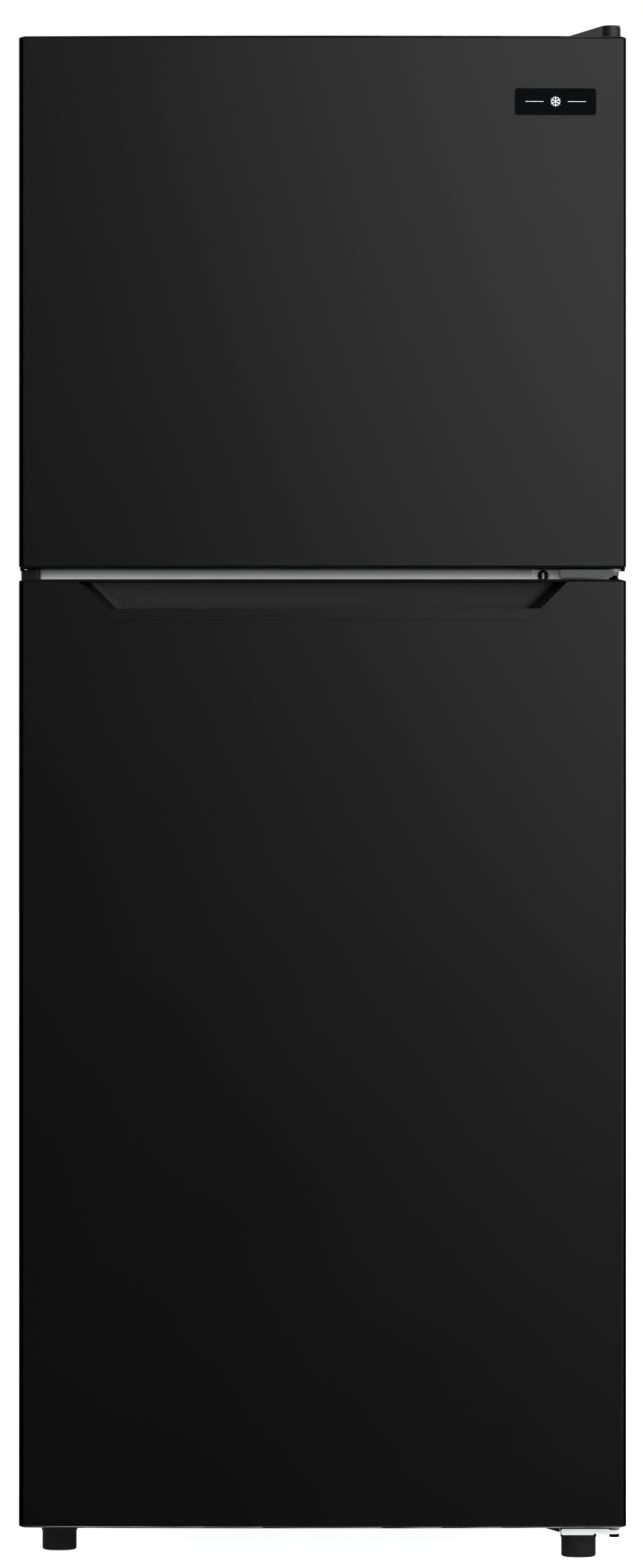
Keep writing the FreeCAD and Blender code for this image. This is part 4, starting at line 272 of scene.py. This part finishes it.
def handle_moulding(name, skin, inside, painted_sheen, crown):
    """Moulded handle: polished on the flush lip like the door's paint, side walls given the lip's black as
    painted shade, matte grey-black on the back wall, and a paler painted highlight where the left side wall
    runs into it."""
    made, tree, shader, place = start(name, Specular_IOR_Level=0.5)
    axes = add(tree, "SeparateXYZ", {0: place}).outputs
    across = add(tree, "Math", {0: axes["X"], 1: 2.0}, operation="POWER").outputs[0]
    bow = add(tree, "Math", {0: across, 1: 0.5 / crown, 2: FRONT}, operation="MULTIPLY_ADD").outputs[0]
    depth = add(tree, "Math", {0: axes["Y"], 1: bow}, operation="SUBTRACT").outputs[0]
    deep = add(tree, "MapRange", {0: depth, 1: LIP_FADE[0] * MM, 2: LIP_FADE[1] * MM}).outputs[0]
    grain = add(tree, "TexNoise", {"Vector": place, "Scale": per(POCKET_GRAIN), "Detail": 3.0}).outputs["Fac"]
    matte = add(tree, "MapRange", {0: grain, 3: POCKET_ROUGH[0], 4: POCKET_ROUGH[1]}).outputs[0]
    rough = add(tree, "Mix", {"Factor": deep, 2: LIP_ROUGH, 3: matte}).outputs[0]
    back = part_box("fridge_door_handle")[1].y
    fade = [back - mm * MM for mm in (*SIDE_WALL_SHADE_FADE, *BACK_WALL_FADE)]
    wall = add(tree, "MapRange", {0: axes["Y"], 1: fade[0], 2: fade[1]}).outputs[0]
    flat = add(tree, "MapRange", {0: axes["Y"], 1: fade[2], 2: fade[3]}).outputs[0]
    slanted = {0: axes["Z"], 1: WALL_SLANT, 2: axes["X"]}
    slant = add(tree, "Math", slanted, operation="MULTIPLY_ADD").outputs[0]
    foot = [mm * MM for mm in LEFT_WALL_SHEEN_FOOT]
    left = add(tree, "MapRange", {0: slant, 1: foot[0], 2: foot[1], 3: 1.0, 4: 0.0}).outputs[0]
    # painted highlight: a paler band along the foot of the left side wall, where it runs into the back wall
    sheen_mix = {"Factor": left, 6: linear(inside), 7: linear(painted_sheen)}
    edge = add(tree, "Mix", sheen_mix, data_type="RGBA").outputs[2]
    pocket = add(tree, "Mix", {"Factor": flat, 6: edge, 7: linear(inside)}, data_type="RGBA").outputs[2]
    # painted shade: the side walls keep the lip's black until close to the back wall
    shade = add(tree, "Mix", {"Factor": wall, 6: linear(skin), 7: pocket}, data_type="RGBA").outputs[2]
    tree.links.new(shade, shader.inputs["Base Color"])
    tree.links.new(rough, shader.inputs["Roughness"])
    fine = add(tree, "Math", {0: grain, 1: deep}, operation="MULTIPLY").outputs[0]
    bump = add(tree, "Bump", {"Height": fine, "Distance": POCKET_DEPTH * MM, "Strength": 1.0})
    tree.links.new(bump.outputs[0], shader.inputs["Normal"])
    return made


DOOR_CROWN_R = 7.503  # metres
DOOR_EDGE_SHADE = (-296.6, -294.8, 296.8, 297.8)  # mm across, where each painted shade band at the door's rounded side edges begins and is full
HINGE_RIM_SHADE_BACK = -0.300

FINISH = {
    # gloss black doors: almost no colour of their own, so the lamp's soft glow makes their whole tone
    "door_paint": door_steel("black_coil_coated_steel", "#010101", "#020202", (0.38, 0.41), 4.0, 0.004,
                             DOOR_EDGE_SHADE),
    # cabinet wrapper: a flatter black with a rougher roller texture
    "cabinet_paint": painted_steel("black_textured_steel", "#0d0e10", "#151618", (0.40, 0.52), 1.6, 0.02,
                                   0.0),
    # ABS mouldings: dark grey-black with an eroded grain
    "black_plastic": moulded("black_abs", "#101012", "#171719", (0.38, 0.5), 0.8, 0.012),
    # polished acrylic plate
    "badge_plate": moulded("black_acrylic", "#010102", "#020304", (0.06, 0.1), 20.0, 0.001, IOR=1.1),
    "zinc_sheet": zinc_coated("galvanised_steel", "#9b9ea0", "#aaadae", (0.36, 0.44), 7.0),
    "hinge_steel": drawn_metal("zinc_plated_steel", "#8f9193", "#b1b3b4", (0.26, 0.4), 0.6, (1.0, 8.0, 8.0)),
    "pin_steel": drawn_metal("polished_steel", "#8a8b8e", "#b9babc", (0.12, 0.22), 0.5, (6.0, 6.0, 1.0)),
    # nylon washers, greyed by wear
    "nylon": moulded("worn_nylon", "#86847d", "#949189", (0.35, 0.45), 1.5, 0.006),
    "white_liner": moulded("white_polystyrene", "#e3e6e8", "#eceff0", (0.22, 0.3), 5.0, 0.01),
    "foam": cellular("polyurethane_foam", "#c9b06c", "#e6d6a2", 1.2),
    "gasket_rubber": moulded("soft_pvc", "#161618", "#1f1f21", (0.5, 0.62), 1.2, 0.01),
    "black_rubber": moulded("black_rubber", "#0d0d0d", "#161616", (0.62, 0.78), 1.0, 0.02),
    "shelf_glass": clear("float_glass", "#dff0ea", 1.52, (0.0, 0.02), 60.0),
    "clear_plastic": clear("clear_styrene", "#e4eef4", 1.56, (0.03, 0.09), 25.0),
    "compressor_paint": painted_steel("black_dipped_enamel", "#060606", "#0c0c0c", (0.2, 0.32), 5.0, 0.03,
                                      0.3),
    "copper_tube": drawn_metal("copper_tube", "#a85f3c", "#c57f58", (0.2, 0.36), 0.8, (1.0, 1.0, 1.0)),
    "aluminium_fins": drawn_metal("aluminium_fin", "#b9bcbe", "#d4d6d8", (0.28, 0.42), 0.7, (1.0, 1.0, 0.1)),
    "coated_wire": moulded("white_epoxy", "#e2e4e3", "#edeeed", (0.2, 0.3), 3.0, 0.008),
}


def dress(piece, material):
    """Gives a piece its one material."""
    piece.data.materials.clear()
    piece.data.materials.append(material)


# nodes whose finish differs from the rest of their slot
OWN = {
    # smooth end caps: the same black all through, only a soft shine on the rounded rim
    **dict.fromkeys(
        ("freezer_door_top_cap", "freezer_door_bottom_cap", "fridge_door_top_cap"),
        moulded("smooth_black_abs", "#020203", "#040405", (0.55, 0.62), 1.0, 0.002, Specular_IOR_Level=0.1)),
    # the lowest cap is glossier, so its rim picks up the floor
    "fridge_door_bottom_cap": moulded("gloss_black_abs", "#08080a", "#0c0c0e", (0.2, 0.26), 1.0, 0.002,
                                      IOR=1.9),
    # 3c3c3e is the painted highlight at the left wall's foot; the side walls take the lip's black as painted
    # shade
    "fridge_door_handle": handle_moulding("black_abs_handle", "#020202", "#1b1b1d", "#3c3c3e", DOOR_CROWN_R),
    # chalky bar between the doors, with painted shade under the freezer door
    "mullion_bar": shade_graded_zinc("electro_galvanised_steel", "#9c9ea0", "#f2f3f4", (0.45, 0.55),
                               (973.0, 983.0)),
    # bright plate, with painted shade on its front rim
    "middle_hinge": plated_hinge("bright_zinc_plate", "#e4e6e7", "#f0f1f2", "#58595b", (0.34, 0.46),
                                 HINGE_RIM_SHADE_BACK),
    "bottom_hinge": drawn_metal("new_zinc_plate", "#c3c5c6", "#d0d2d3", (0.3, 0.42), 0.6, (1.0, 8.0, 8.0),
                                0.3),
    # top hinge's cover: talc-filled, so blacker and flatter than the mouldings inside
    "top_hinge_cover": moulded("black_polypropylene", "#0a0a0b", "#101011", (0.36, 0.46), 0.8, 0.012),
    # blackened pins: dark, with one sharp line of light
    "hinge_pins": drawn_metal("blackened_steel", "#232325", "#303032", (0.18, 0.28), 0.5, (6.0, 6.0, 1.0)),
    # nylon-filled feet: dark grey with a dull sheen on the ribs
    **dict.fromkeys(("left_foot", "right_foot"),
                    moulded("black_nylon_feet", "#131314", "#19191b", (0.4, 0.5), 1.0, 0.01)),
}

for row in frame["record"]["subparts"]:
    dress(bpy.data.objects[row["node"]], OWN.get(row["node"], FINISH[row["material_slot"]]))


# ---------------------------------------------------------------- modelled pieces
MERGE = 0.005  # mm


def finish_piece(name, node_slot, body, smooth, material=None):
    """The active object made ready: clean mesh, normals out, origin at the world's, its material and body."""
    piece = bpy.context.object
    piece.name = name
    bpy.ops.object.transform_apply(location=True, rotation=True, scale=True)
    bpy.ops.object.mode_set(mode="EDIT")
    bpy.ops.mesh.select_all(action="SELECT")
    bpy.ops.mesh.remove_doubles(threshold=MERGE * MM)
    bpy.ops.mesh.normals_make_consistent(inside=False)
    bpy.ops.object.mode_set(mode="OBJECT")
    bpy.ops.object.shade_smooth_by_angle(angle=math.radians(smooth))
    dress(piece, material or FINISH[node_slot])
    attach(piece, body)
    return piece


def apply_modifier(kind, **settings):
    """One modifier on the active object, applied at once."""
    made = bpy.context.object.modifiers.new(kind.lower(), kind)
    for name, value in settings.items():
        setattr(made, name, value)
    bpy.ops.object.modifier_apply(modifier=made.name)


# half section of the magnetic gasket in mm: in from its outer edge, off the door
GASKET_SECTION = (
    (0.6, 0.6), (2.6, 0.9), (3.4, 3.0), (4.6, 3.6), (5.6, 6.2), (6.2, 9.6), (7.6, 10.1), (13.2, 10.1),
    (14.2, 9.3), (14.4, 3.0), (14.6, 0.9))
GASKET_WALL = 0.6
GASKET_SMOOTH = 25  # degrees


def gasket(name, node, body):
    """Magnetic gasket: a base lip, a bellows fold and the flat magnet tube."""
    low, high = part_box(node)
    bpy.ops.object.select_all(action="DESELECT")
    middle = ((low.x + high.x) / 2, low.y, (low.z + high.z) / 2)
    bpy.ops.mesh.primitive_plane_add(size=1, location=middle, rotation=(math.radians(-90), 0, 0))
    bpy.context.object.scale = (high.x - low.x, high.z - low.z, 1)
    bpy.ops.object.transform_apply(location=True, rotation=True, scale=True)
    bpy.ops.object.mode_set(mode="EDIT")
    bpy.ops.mesh.select_all(action="SELECT")
    inward, off = 0.0, 0.0
    for reach, rise in GASKET_SECTION:
        bpy.ops.mesh.inset(thickness=(reach - inward) * MM, depth=(rise - off) * MM)
        inward, off = reach, rise
    bpy.ops.mesh.delete(type="FACE")
    bpy.ops.object.mode_set(mode="OBJECT")
    apply_modifier("SOLIDIFY", thickness=GASKET_WALL * MM, offset=-1)
    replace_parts(finish_piece(name, "gasket_rubber", body, GASKET_SMOOTH), node)


GROMMET_R = 11.0  # mm, as the lines below
GROMMET_BEAD = 0.8  # rounding of its rims
GROMMET_HEIGHT = 14.0
GROMMET_PLUG_R = 3.8
GROMMET_SIDES = 40
GROMMET_SMOOTH = 40  # degrees


def grommet_rings(top):
    """Radius and height of the grommet's rings in mm: a foot, a waist, a head and the plug over it."""
    r, h = GROMMET_R, GROMMET_HEIGHT
    return (
        (r, GROMMET_BEAD), (r, h * 0.28), (r - 0.6, h * 0.34), (r * 0.74, h * 0.42), (r * 0.74, h * 0.58),
        (r - 0.6, h * 0.66), (r, h * 0.72), (r, h - GROMMET_BEAD), (r - GROMMET_BEAD, h), (GROMMET_PLUG_R, h),
        (GROMMET_PLUG_R, top - GROMMET_BEAD), (GROMMET_PLUG_R - GROMMET_BEAD, top))


def grommet(x, y, low, top):
    """One grommet, raised ring by ring from the disc it stands on."""
    radius = (GROMMET_R - GROMMET_BEAD) * MM
    bpy.ops.object.select_all(action="DESELECT")
    bpy.ops.mesh.primitive_circle_add(
        vertices=GROMMET_SIDES, radius=radius, fill_type="NGON", location=(x, y, low))
    bpy.ops.object.mode_set(mode="EDIT")
    bpy.ops.mesh.select_all(action="SELECT")
    height = 0.0
    for ring, rise in grommet_rings((top - low) / MM):
        bpy.ops.mesh.extrude_region_move(TRANSFORM_OT_translate={"value": (0, 0, (rise - height) * MM)})
        share = ring * MM / radius
        bpy.ops.transform.resize(value=(share, share, 1), center_override=(x, y, low + rise * MM))
        radius, height = ring * MM, rise
    bpy.ops.object.mode_set(mode="OBJECT")
    return bpy.context.object


def grommets(name, node):
    """Four rubber grommets under the compressor's legs, one at each corner of the node's box."""
    low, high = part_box(node)
    rim = GROMMET_R * MM
    first = grommet(low.x + rim, low.y + rim, low.z, high.z)
    across, deep = high.x - low.x - 2 * rim, high.y - low.y - 2 * rim
    made = [first]
    for step in ((across, 0, 0), (0, deep, 0), (across, deep, 0)):
        bpy.ops.object.select_all(action="DESELECT")
        first.select_set(True)
        bpy.context.view_layer.objects.active = first
        bpy.ops.object.duplicate_move(TRANSFORM_OT_translate={"value": step})
        made.append(bpy.context.object)
    for piece in made:
        piece.select_set(True)
    bpy.ops.object.join()
    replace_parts(finish_piece(name, "black_rubber", "cabinet", GROMMET_SMOOTH), node)


# the emblem on the badge, in mm
EMBLEM_T = 0.7  # half of it stands proud of the plate
EMBLEM_ARM = 5.2
EMBLEM_WIDTH = 0.8
EMBLEM_TWIG = 2.6
EMBLEM_TWIG_AT = 2.9
EMBLEM_RULE = (18.0, 0.6)
EMBLEM_RULE_X = 21.0
EMBLEM_TWIG_WIDTH = 0.68
EMBLEM_EDGE = 0.1
EMBLEM_CREASE = 40  # degrees past which an edge is bevelled
EMBLEM_SMOOTH = 10


def bar(x, z, angle, length, width):
    """A flat bar with its middle at x, z in mm and turned in the plate's plane."""
    bpy.ops.object.select_all(action="DESELECT")
    bpy.ops.mesh.primitive_cube_add(size=1, location=(x * MM, 0, z * MM), rotation=(0, -angle, 0))
    bpy.context.object.scale = (length * MM, EMBLEM_T * MM, width * MM)
    bpy.ops.object.transform_apply(location=True, rotation=True, scale=True)
    return bpy.context.object


def snowflake_bars():
    """Three long bars through the centre and two twigs on each of their six arms."""
    bars = []
    for arm in range(3):
        bars.append(bar(0, 0, math.radians(90 + 60 * arm), 2 * EMBLEM_ARM, EMBLEM_WIDTH))
    for arm in range(6):
        angle = math.radians(90 + 60 * arm)
        for side in (-1, 1):
            lean = angle + side * math.radians(60)
            x = EMBLEM_TWIG_AT * math.cos(angle) + EMBLEM_TWIG / 2 * math.cos(lean)
            z = EMBLEM_TWIG_AT * math.sin(angle) + EMBLEM_TWIG / 2 * math.sin(lean)
            bars.append(bar(x, z, lean, EMBLEM_TWIG, EMBLEM_TWIG_WIDTH))
    return bars


def emblem(name, node):
    """A generic snowflake between two thin rules, in place of the maker's lettering."""
    flake, *others = snowflake_bars()
    bpy.context.view_layer.objects.active = flake
    for other in others:
        apply_modifier("BOOLEAN", operation="UNION", solver="EXACT", object=other)
        bpy.data.objects.remove(other)
    rules = [bar(side * EMBLEM_RULE_X, 0, 0, *EMBLEM_RULE) for side in (-1, 1)]
    for piece in (*rules, flake):
        piece.select_set(True)
    bpy.context.view_layer.objects.active = flake
    bpy.ops.object.join()
    apply_modifier("BEVEL", width=EMBLEM_EDGE * MM, segments=2, angle_limit=math.radians(EMBLEM_CREASE))
    low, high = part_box(node)
    across = (low.x + high.x) / 2
    turn = math.asin(across / DOOR_CROWN_R)
    face = low.y + (high.x - low.x) / 2 * math.tan(turn)
    piece = bpy.context.object
    piece.rotation_euler = (0, 0, turn)
    piece.location = (across, face, (low.z + high.z) / 2)
    silver = drawn_metal("satin_aluminium", "#b9bcbe", "#c9cbcd", (0.4, 0.5), 0.5, (8.0, 1.0, 8.0), 0.3)
    finish_piece(name, "pin_steel", "freezer_door", EMBLEM_SMOOTH, silver)


gasket("freezer_gasket_seal", "freezer_door_gasket", "freezer_door")
gasket("fridge_gasket_seal", "fridge_door_gasket", "fridge_door")
grommets("compressor_grommet_rubbers", "compressor_grommets")
emblem("badge_emblem", "badge")


# ---------------------------------------------------------------- floor, light and camera
FLOOR_SIZE = 60
FLOOR_GLOW = 0.85
FLOOR_MOTTLE = 0.8
WORLD_FILL = 0.9
# what gloss sees of the room: where each glow begins and is full, and its strength at both
BEHIND_GLOW = {1: 0.3, 2: 0.95, 3: 0.0015, 4: 0.15}
BELOW_GLOW = {1: -0.88, 2: -0.98, 3: 0.0, 4: 3.0}
# place, aim, size in metres and power in watts of each soft box
LAMPS = {
    "key_softbox": ((1.372, -2.009, 1.937), (0, -0.3, 0.8), 3.83, 54),
    "top_softbox": ((0, 0.6, 3.4), (0, 0.6, 0), 3.5, 90),
    "left_softbox": ((-3.4, 2.6, 1.6), (0, 0.1, 0.8), 2.0, 30),
    "right_softbox": ((3.4, 2.6, 1.6), (0, 0.1, 0.8), 2.0, 30),
    "front_fill": ((0, -5.3, 1.4), (0, 0, 0.98), 1.2, 140),
    "back_softbox": ((0.8, 3.8, 1.9), (0, 0.3, 0.8), 2.4, 60),
}
NO_GLOSS = ("front_fill",)  # lights the bare metal in the gap without a shine on the doors
LENS = 139.75
SENSOR = 36
CAMERA_X, CAMERA_BACK, CAMERA_HEIGHT = -0.001, 6.0, 0.770


def stage_floor():
    """A pale matte floor that gloss does not mirror."""
    bpy.ops.object.select_all(action="DESELECT")
    bpy.ops.mesh.primitive_plane_add(size=FLOOR_SIZE, location=(0, 0, 0))
    floor = bpy.context.object
    floor.name = "studio_floor"
    made, tree, shader, place = start("pale_matte_floor", Roughness=0.9, Emission_Strength=FLOOR_GLOW)
    shader.inputs["Emission Color"].default_value = (1, 1, 1, 1)
    mottle = add(tree, "TexNoise", {"Vector": place, "Scale": FLOOR_MOTTLE, "Detail": 2.0}).outputs["Fac"]
    pale = {"Factor": mottle, 6: linear("#f4f4f3"), 7: linear("#f8f8f7")}
    shade = add(tree, "Mix", pale, data_type="RGBA").outputs[2]
    tree.links.new(shade, shader.inputs["Base Color"])
    dress(floor, made)
    floor.visible_glossy = False


def lamp(name, place, aim, size, power):
    """A round soft box that faces its aim."""
    data = bpy.data.lights.new(name, "AREA")
    data.shape = "DISK"
    data.size = size
    data.energy = power
    made = bpy.data.objects.new(name, data)
    bpy.context.scene.collection.objects.link(made)
    made.location = place
    made.rotation_euler = (Vector(aim) - Vector(place)).to_track_quat("-Z", "Y").to_euler()
    made.visible_camera = False
    return made


def studio():
    """Plain soft light: an even room, a glow behind and below for the rounded edges, and the soft boxes."""
    scene = bpy.context.scene
    scene.view_settings.view_transform = "Standard"
    world = bpy.data.worlds.new("studio")
    scene.world = world
    world.use_nodes = True
    tree = world.node_tree
    back = tree.nodes["Background"]
    way = add(tree, "TexCoord").outputs["Generated"]
    axes = add(tree, "SeparateXYZ", {0: way}).outputs
    behind = add(tree, "MapRange", {0: axes["Y"], **BEHIND_GLOW}, interpolation_type="SMOOTHSTEP")
    below = add(tree, "MapRange", {0: axes["Z"], **BELOW_GLOW}, interpolation_type="SMOOTHSTEP")
    glow = add(tree, "Math", {0: behind.outputs[0], 1: below.outputs[0]}, operation="ADD").outputs[0]
    path = add(tree, "LightPath").outputs
    fill = add(tree, "Mix", {0: path["Is Glossy Ray"], 2: WORLD_FILL, 3: glow}).outputs[0]
    seen = add(tree, "Mix", {0: path["Is Camera Ray"], 2: fill, 3: 1.0}).outputs[0]
    tree.links.new(seen, back.inputs["Strength"])
    back.inputs["Color"].default_value = (1, 1, 1, 1)
    for name, (place, aim, size, power) in LAMPS.items():
        made = lamp(name, place, aim, size, power)
        made.visible_glossy = name not in NO_GLOSS


def camera():
    """A level camera straight in front of the doors."""
    data = bpy.data.cameras.new("camera")
    data.lens = LENS
    data.sensor_width = SENSOR
    made = bpy.data.objects.new("camera", data)
    bpy.context.scene.collection.objects.link(made)
    made.location = (CAMERA_X, FRONT - CAMERA_BACK, CAMERA_HEIGHT)
    made.rotation_euler = (math.radians(90), 0, 0)
    bpy.context.scene.camera = made


stage_floor()
studio()
camera()
